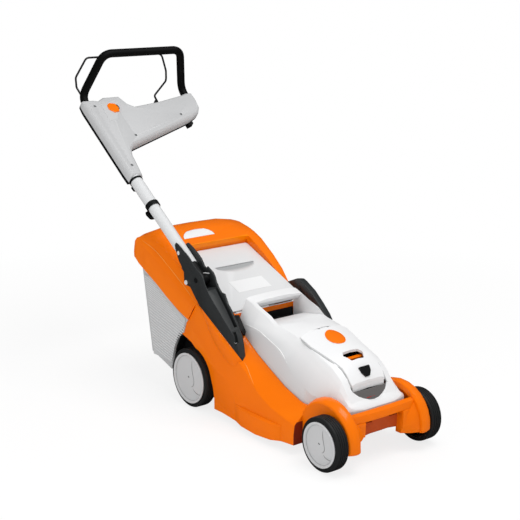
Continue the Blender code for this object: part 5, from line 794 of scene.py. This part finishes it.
# The bent zinc tongue of the bracket's catch shows under its square hole.
catch_zinc = moulded("catch_bright_zinc", BRIGHT_ZINC, roughness=0.30, grain=0.03, drift=0.03, specular=0.5)
catch_tongue = ridge("bracket_catch", catch_zinc, CATCH_LINE, thick=0.0012, tip=0.5)
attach(catch_tongue, body_of("right_bracket"))

# Handle foot: a black moulding on the end of the lower tube that folds about a pin in the bracket.
# A small white plastic clip is pressed on beside it and keeps the handle folded.
CLIP_WHITE = (0.780, 0.782, 0.785)
CLIP_LINE = ((-0.170, -0.0050, 0.4160), (-0.170, -0.0160, 0.4205), (-0.170, -0.0458, 0.4262))
CLIP_THICK = 0.0017
dressed(black_plastic, "handle_foot", "fold_pin")
clip_plastic = moulded("clip_white_plastic", CLIP_WHITE, roughness=0.40)
clip = ridge("fold_clip", clip_plastic, CLIP_LINE, thick=CLIP_THICK, tip=0.6)
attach(clip, body_of("handle_foot"))

# Discharge flap: a grey moulding hinged on a zinc-plated rod ahead of the grass box, with a coiled
# spring on the rod. Its finger recess is painted a darker grey for the shade in it, and it carries a bare
# pale label film.
FLAP_GREY = (0.700, 0.704, 0.710)
RECESS_SHADE_GREY = (0.400, 0.404, 0.410)
LABEL_PALE = (0.790, 0.794, 0.798)
FLAP_HINGE = (0, -0.1035, 0.308)
FLAP_RISE = radians(0.8)
FLAP_SLOPE = radians(21.1) + FLAP_RISE
FACE_Y = -0.10514
FACE_Z = 0.31768
RECESS_BEGINS = 0.0004
RECESS_FULL = 0.0030
RECESS_DEEPEST = 0.0045
LABEL_X = (-0.055, 0.068)
LABEL_Y = (-0.035, 0.016)
LABEL_LIFT = 0.0006
LABEL_THICK = 0.0008
LABEL_EDGE = 0.0002


def recess_shade_mask(at):
    """The mask of the recess's painted shade: one under the flap's sloping face, zero on the face and far
    below it.
    """
    y = at.node("ShaderNodeSeparateXYZ", {}, {"Vector": at}, 1)
    z = at.node("ShaderNodeSeparateXYZ", {}, {"Vector": at}, 2)
    below = (y - FACE_Y) * sin(FLAP_SLOPE) - (z - FACE_Z) * cos(FLAP_SLOPE)
    deepens = at.node("ShaderNodeMapRange", {}, {0: below, 1: RECESS_BEGINS, 2: RECESS_FULL})
    return deepens * at.sum("LESS_THAN", below, RECESS_DEEPEST)


flap_plastic = moulded(
    "flap_plastic_textured",
    FLAP_GREY,
    roughness=0.46,
    grain=0.12,
    fineness=1100,
    drift=0.03,
    patches=[(recess_shade_mask, RECESS_SHADE_GREY)],
)
flap = rounded("discharge_flap", flap_plastic, corner=0.0006, smooth=20.0)
to_hinge = Matrix.Translation(FLAP_HINGE)
flap.data.transform(to_hinge @ Matrix.Rotation(FLAP_RISE, 4, "X") @ to_hinge.inverted())
label_corners = []
for x, y in ((0, 0), (1, 0), (1, 1), (0, 1)):
    label_y = LABEL_Y[y]
    label_z = FACE_Z + (label_y - FACE_Y) * tan(FLAP_SLOPE) + LABEL_LIFT
    label_corners.append((LABEL_X[x], label_y, label_z))
label_film = moulded("label_film_pale", LABEL_PALE, roughness=0.34, grain=0.03, specular=0.35)
flap_body = body_of("discharge_flap")
plate("flap_label", label_film, label_corners, LABEL_THICK, LABEL_EDGE, flap_body)
dressed(zinc, "flap_hinge_rod", "flap_spring")

# Grass box cover: an orange moulding clipped over the tub, with a fine bead in a paler orange along each
# shoulder as a painted highlight, and a small pale indicator on the crown that the air lifts until the box
# is full.
# Painted light: a brighter orange for the cover's wall above the flap, which lifts the shade it stands in.
WALL_LIGHT_ORANGE = (1.0, 0.245, 0.0)
COVER_WALL = ((-0.138, 0.168, 0.436), (0.138, 0.1777, 0.4572))
SHOULDER = (
    (-0.1851, 0.3027, 0.4682),
    (-0.1832, 0.2150, 0.4450),
    (-0.1822, 0.1637, 0.4195),
    (-0.1777, 0.0850, 0.3710),
    (-0.1732, 0.0175, 0.3234),
)
cover_plastic = gloss_orange("cover_orange_gloss", [(within(*COVER_WALL), WALL_LIGHT_ORANGE)])
rounded("box_cover", cover_plastic, corner=0.0014, sharp=26.0, smooth=22.0)
for side, hand in ((-1, "right"), (1, "left")):
    mirrored = [(-side * x, y, z) for x, y, z in SHOULDER]
    bead = ridge(f"cover_bead_{hand}", highlight_bead, mirrored, thick=0.0011, tip=0.3)
    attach(bead, body_of("box_cover"))
rounded("fill_indicator", pale_plastic, corner=0.0005)

# Grass box tub: a grey textured moulding. Thin louvres stand on a panel of each side and let the
# air out. They slope back with the box, and the cover's skirt hides their upper ends. The louvres
# are a paler grey than the tub: painted light on their lit faces.
TUB_GREY = (0.480, 0.486, 0.492)
LOUVRE_LIT_GREY = (0.600, 0.605, 0.610)
LOUVRE_PITCH = 0.0088
LOUVRE_SLOPE = 0.216
LOUVRE_FOOT_Z = 0.118
LOUVRE_COUNT = 27
LOUVRE_WIDTH = 0.0016
LOUVRE_THICK = 0.0030
LOUVRE_OUT = 0.0010
LOUVRE_INSET = 0.002
LOUVRE_FRONT = (
    (0.106, 0.1490),
    (0.147, 0.1352),
    (0.175, 0.1250),
    (0.205, 0.1070),
    (0.241, 0.0722),
    (0.264, 0.0642),
    (0.282, 0.1035),
    (0.299, 0.1380),
    (0.335, 0.2060),
    (0.356, 0.2440),
)
TUB_BACK = ((0.105, 0.250), (0.387, 0.288))
TUB_SIDE = ((0.082, 0.1728), (0.3865, 0.1828))
PANEL_OUT = 0.0004
PANEL_THICK = 0.0008


def between(line, z):
    """The value at height z of a line of heights and values."""
    for (low_z, low), (high_z, high) in zip(line, line[1:]):
        if z <= high_z:
            break
    return low + (high - low) * (z - low_z) / (high_z - low_z)


grey_plastic = moulded(
    "grey_plastic_textured", TUB_GREY, roughness=0.48, grain=0.12, fineness=1100, drift=0.03
)
# Painted light: the louvres take a paler grey than the tub they are moulded with.
lit_louvre_plastic = moulded(
    "louvre_lit_plastic", LOUVRE_LIT_GREY, roughness=0.48, grain=0.08, fineness=1100, drift=0.03
)
rounded("box_tub", grey_plastic, corner=0.0003)
draft = (TUB_SIDE[1][1] - TUB_SIDE[0][1]) / (TUB_SIDE[1][0] - TUB_SIDE[0][0])
for side, hand in ((-1, "right"), (1, "left")):
    panels = []
    for (low_z, low_front), (high_z, high_front) in zip(LOUVRE_FRONT, LOUVRE_FRONT[1:]):
        bpy.ops.object.select_all(action="DESELECT")
        bpy.ops.mesh.primitive_plane_add(size=1, location=(0, 0, 0))
        panel = bpy.context.object
        corners = [(low_front, low_z), (between(TUB_BACK, low_z), low_z)]
        corners += [(high_front, high_z), (between(TUB_BACK, high_z), high_z)]
        for vertex, (y, z) in zip(panel.data.vertices, corners):
            vertex.co = (side * (between(TUB_SIDE, z) + PANEL_OUT), y, z)
        panel.data.materials.append(grey_plastic)
        alone(panel)
        skin = panel.modifiers.new("skin", "SOLIDIFY")
        skin.thickness = PANEL_THICK
        skin.offset = 0.0
        bpy.ops.object.modifier_apply(modifier="skin")
        panels.append(panel)
    panel = joined_pieces(f"tub_panel_{hand}", panels)
    blades = []
    for k in range(LOUVRE_COUNT):
        z = LOUVRE_FOOT_Z + k * LOUVRE_PITCH
        front = between(LOUVRE_FRONT, z) + LOUVRE_INSET
        length = between(TUB_BACK, z) - 2 * LOUVRE_INSET - front
        at = (side * (between(TUB_SIDE, z) + LOUVRE_OUT), front + length / 2, z)
        turned = (LOUVRE_SLOPE, side * draft, 0)
        blades.append(block(lit_louvre_plastic, at, turned, (LOUVRE_WIDTH, length, LOUVRE_THICK)))
    louvres = joined_pieces(f"tub_louvres_{hand}", blades)
    for piece in (panel, louvres):
        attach(piece, body_of("box_tub"))

# Telescopic handle: two steel tubes painted silver, the upper sliding over the lower. A black
# moulded clamp with a lever grips both at the upper one's foot, and a collar clip rings it higher up.
TUBE_SILVER = (0.640, 0.648, 0.655)
silver_paint = moulded(
    "silver_tube_paint", TUBE_SILVER, roughness=0.33, fineness=1800, coat=0.2, specular=0.5
)
dressed(silver_paint, "lower_tube", "upper_tube")
dressed(black_plastic, "tube_clamp", "clamp_lever", "collar_clip")

# Control housing: a pale upper and a black lower half moulding, held together by four dark steel
# screws. A raised tile on the right carries the orange leaf-shaped cap of the start button.
HOUSING_GREY = (0.500, 0.504, 0.510)
SCREW_DARK = (0.13, 0.135, 0.14)
TILE_CORNERS = (
    (-0.1634, 0.5430, 0.8530),
    (-0.1655, 0.4890, 0.8072),
    (-0.1288, 0.4945, 0.8119),
    (-0.1050, 0.5560, 0.8640),
)
TILE_THICK = 0.0018
TILE_EDGE = 0.0005
HEAD_FACE_TURN = radians(40.3)
BUTTON_CORNERS = (
    (-0.1440, 0.5400, 0.8505),
    (-0.1330, 0.5455, 0.8552),
    (-0.1140, 0.5420, 0.8522),
    (-0.1085, 0.5290, 0.8411),
    (-0.1125, 0.5170, 0.8310),
    (-0.1310, 0.5140, 0.8285),
    (-0.1460, 0.5260, 0.8387),
)
BUTTON_LIFT = 0.0012
BUTTON_THICK = 0.0044
BUTTON_EDGE = 0.0016
housing_plastic = moulded("housing_grey_plastic", HOUSING_GREY, roughness=0.42, grain=0.08, fineness=1300)
screw_steel = moulded("housing_screw_steel", SCREW_DARK, roughness=0.45, drift=0.05, specular=0.4)
rounded("control_housing_upper", housing_plastic, corner=0.0014)
dressed(black_plastic, "control_housing_lower")
dressed(screw_steel, *[f"housing_screw_{k}" for k in (1, 2, 3, 4)])
housing_body = body_of("control_housing_upper")
plate("housing_tile", housing_plastic, TILE_CORNERS, TILE_THICK, TILE_EDGE, housing_body)
lift = Vector((0, -sin(HEAD_FACE_TURN), cos(HEAD_FACE_TURN))) * BUTTON_LIFT
leaf = [Vector(corner) + lift for corner in BUTTON_CORNERS]
button_body = body_of("start_button")
button = plate("start_leaf", orange_plastic, leaf, BUTTON_THICK, BUTTON_EDGE, button_body)
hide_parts("start_button")

# Handle loop and bail: the loop is one steel tube bent in four places and sleeved in soft black
# foam from end to end. The thin lacquered wire inside it is the motor-stop bail, sprung away from
# the grip and pivoted in the control housing.
FOAM_BLACK = (0.0032, 0.0034, 0.0034)
LACQUER_BLACK = (0.010, 0.010, 0.011)
GRIP_BEND = 0.042
GRIP_RADIUS = 0.0130
GRIP_CORNERS = (
    (-0.1890, 0.54514, 0.82340),
    (-0.1925, 0.61500, 0.87100),
    (-0.1450, 0.54800, 1.01200),
    (0.1450, 0.54800, 1.01200),
    (0.1925, 0.61500, 0.87100),
    (0.1890, 0.54514, 0.82340),
)
BAIL_BEND = 0.020
BAIL_RADIUS = 0.0032
BAIL_CORNERS = (
    (0.0550, 0.56802, 0.84281),
    (0.0670, 0.56802, 0.84281),
    (0.0680, 0.59090, 0.86221),
    (0.1370, 0.62200, 0.90600),
    (0.1410, 0.62800, 0.93800),
    (0.1260, 0.63100, 0.99500),
    (-0.1600, 0.63100, 0.99500),
    (-0.2030, 0.62800, 0.93500),
    (-0.2035, 0.62400, 0.90400),
    (-0.1965, 0.60600, 0.87900),
    (-0.1820, 0.58200, 0.85600),
    (-0.1780, 0.56802, 0.84281),
    (-0.1700, 0.56802, 0.84281),
)
LONGEST_BEND_SHARE = 0.48
ROD_SMOOTH = 40


def bend_knots(corners, bend):
    """Each bend's start and end on the rod's middle line, with the handle that faces its corner."""
    knots = [(corners[0], None, None)]
    for before, at, after in zip(corners, corners[1:], corners[2:]):
        to_before, to_after = before - at, after - at
        run = bend / tan(to_before.angle(to_after) / 2)
        run = min(run, LONGEST_BEND_SHARE * to_before.length, LONGEST_BEND_SHARE * to_after.length)
        enter = at + to_before.normalized() * run
        leave = at + to_after.normalized() * run
        knots.append((enter, None, enter + (at - enter) * 2 / 3))
        knots.append((leave, leave + (at - leave) * 2 / 3, None))
    knots.append((corners[-1], None, None))
    return knots


def bent_rod(name, material, corners, bend, radius, rounds):
    """A rod through its corners, each bent on the same form, filled at the ends and made a mesh."""
    bpy.ops.object.select_all(action="DESELECT")
    bpy.ops.curve.primitive_bezier_curve_add(location=(0, 0, 0))
    rod = bpy.context.object
    rod.name = name
    spline = rod.data.splines[0]
    knots = bend_knots([Vector(corner) for corner in corners], bend)
    spline.bezier_points.add(len(knots) - 2)
    for index, (knot, (at, left, right)) in enumerate(zip(spline.bezier_points, knots)):
        knot.handle_left_type = knot.handle_right_type = "FREE"
        knot.co = at
        back = knots[max(index - 1, 0)][0]
        ahead = knots[min(index + 1, len(knots) - 1)][0]
        knot.handle_left = left if left else at + (back - at) / 3
        knot.handle_right = right if right else at + (ahead - at) / 3
    rod.data.dimensions = "3D"
    rod.data.bevel_depth = radius
    rod.data.bevel_resolution = rounds
    rod.data.use_fill_caps = True
    rod.data.resolution_u = 14
    alone(rod)
    bpy.ops.object.convert(target="MESH")
    rod = bpy.context.object
    rod.data.materials.append(material)
    bpy.ops.object.shade_smooth_by_angle(angle=radians(ROD_SMOOTH))
    return rod


grip_foam = moulded(
    "grip_foam_soft", FOAM_BLACK, roughness=0.60, grain=0.35, fineness=1300, drift=0.30, specular=0.16
)
grip = bent_rod("foam_grip", grip_foam, GRIP_CORNERS, GRIP_BEND, GRIP_RADIUS, rounds=10)
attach(grip, "handle_upper")
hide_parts("handle_loop")
bail_lacquer = moulded(
    "bail_black_lacquer", LACQUER_BLACK, roughness=0.30, grain=0.04, drift=0.20, specular=0.5
)
bail = bent_rod("stop_wire", bail_lacquer, BAIL_CORNERS, BAIL_BEND, BAIL_RADIUS, rounds=4)
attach(bail, "bail")
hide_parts("motor_stop_bail")
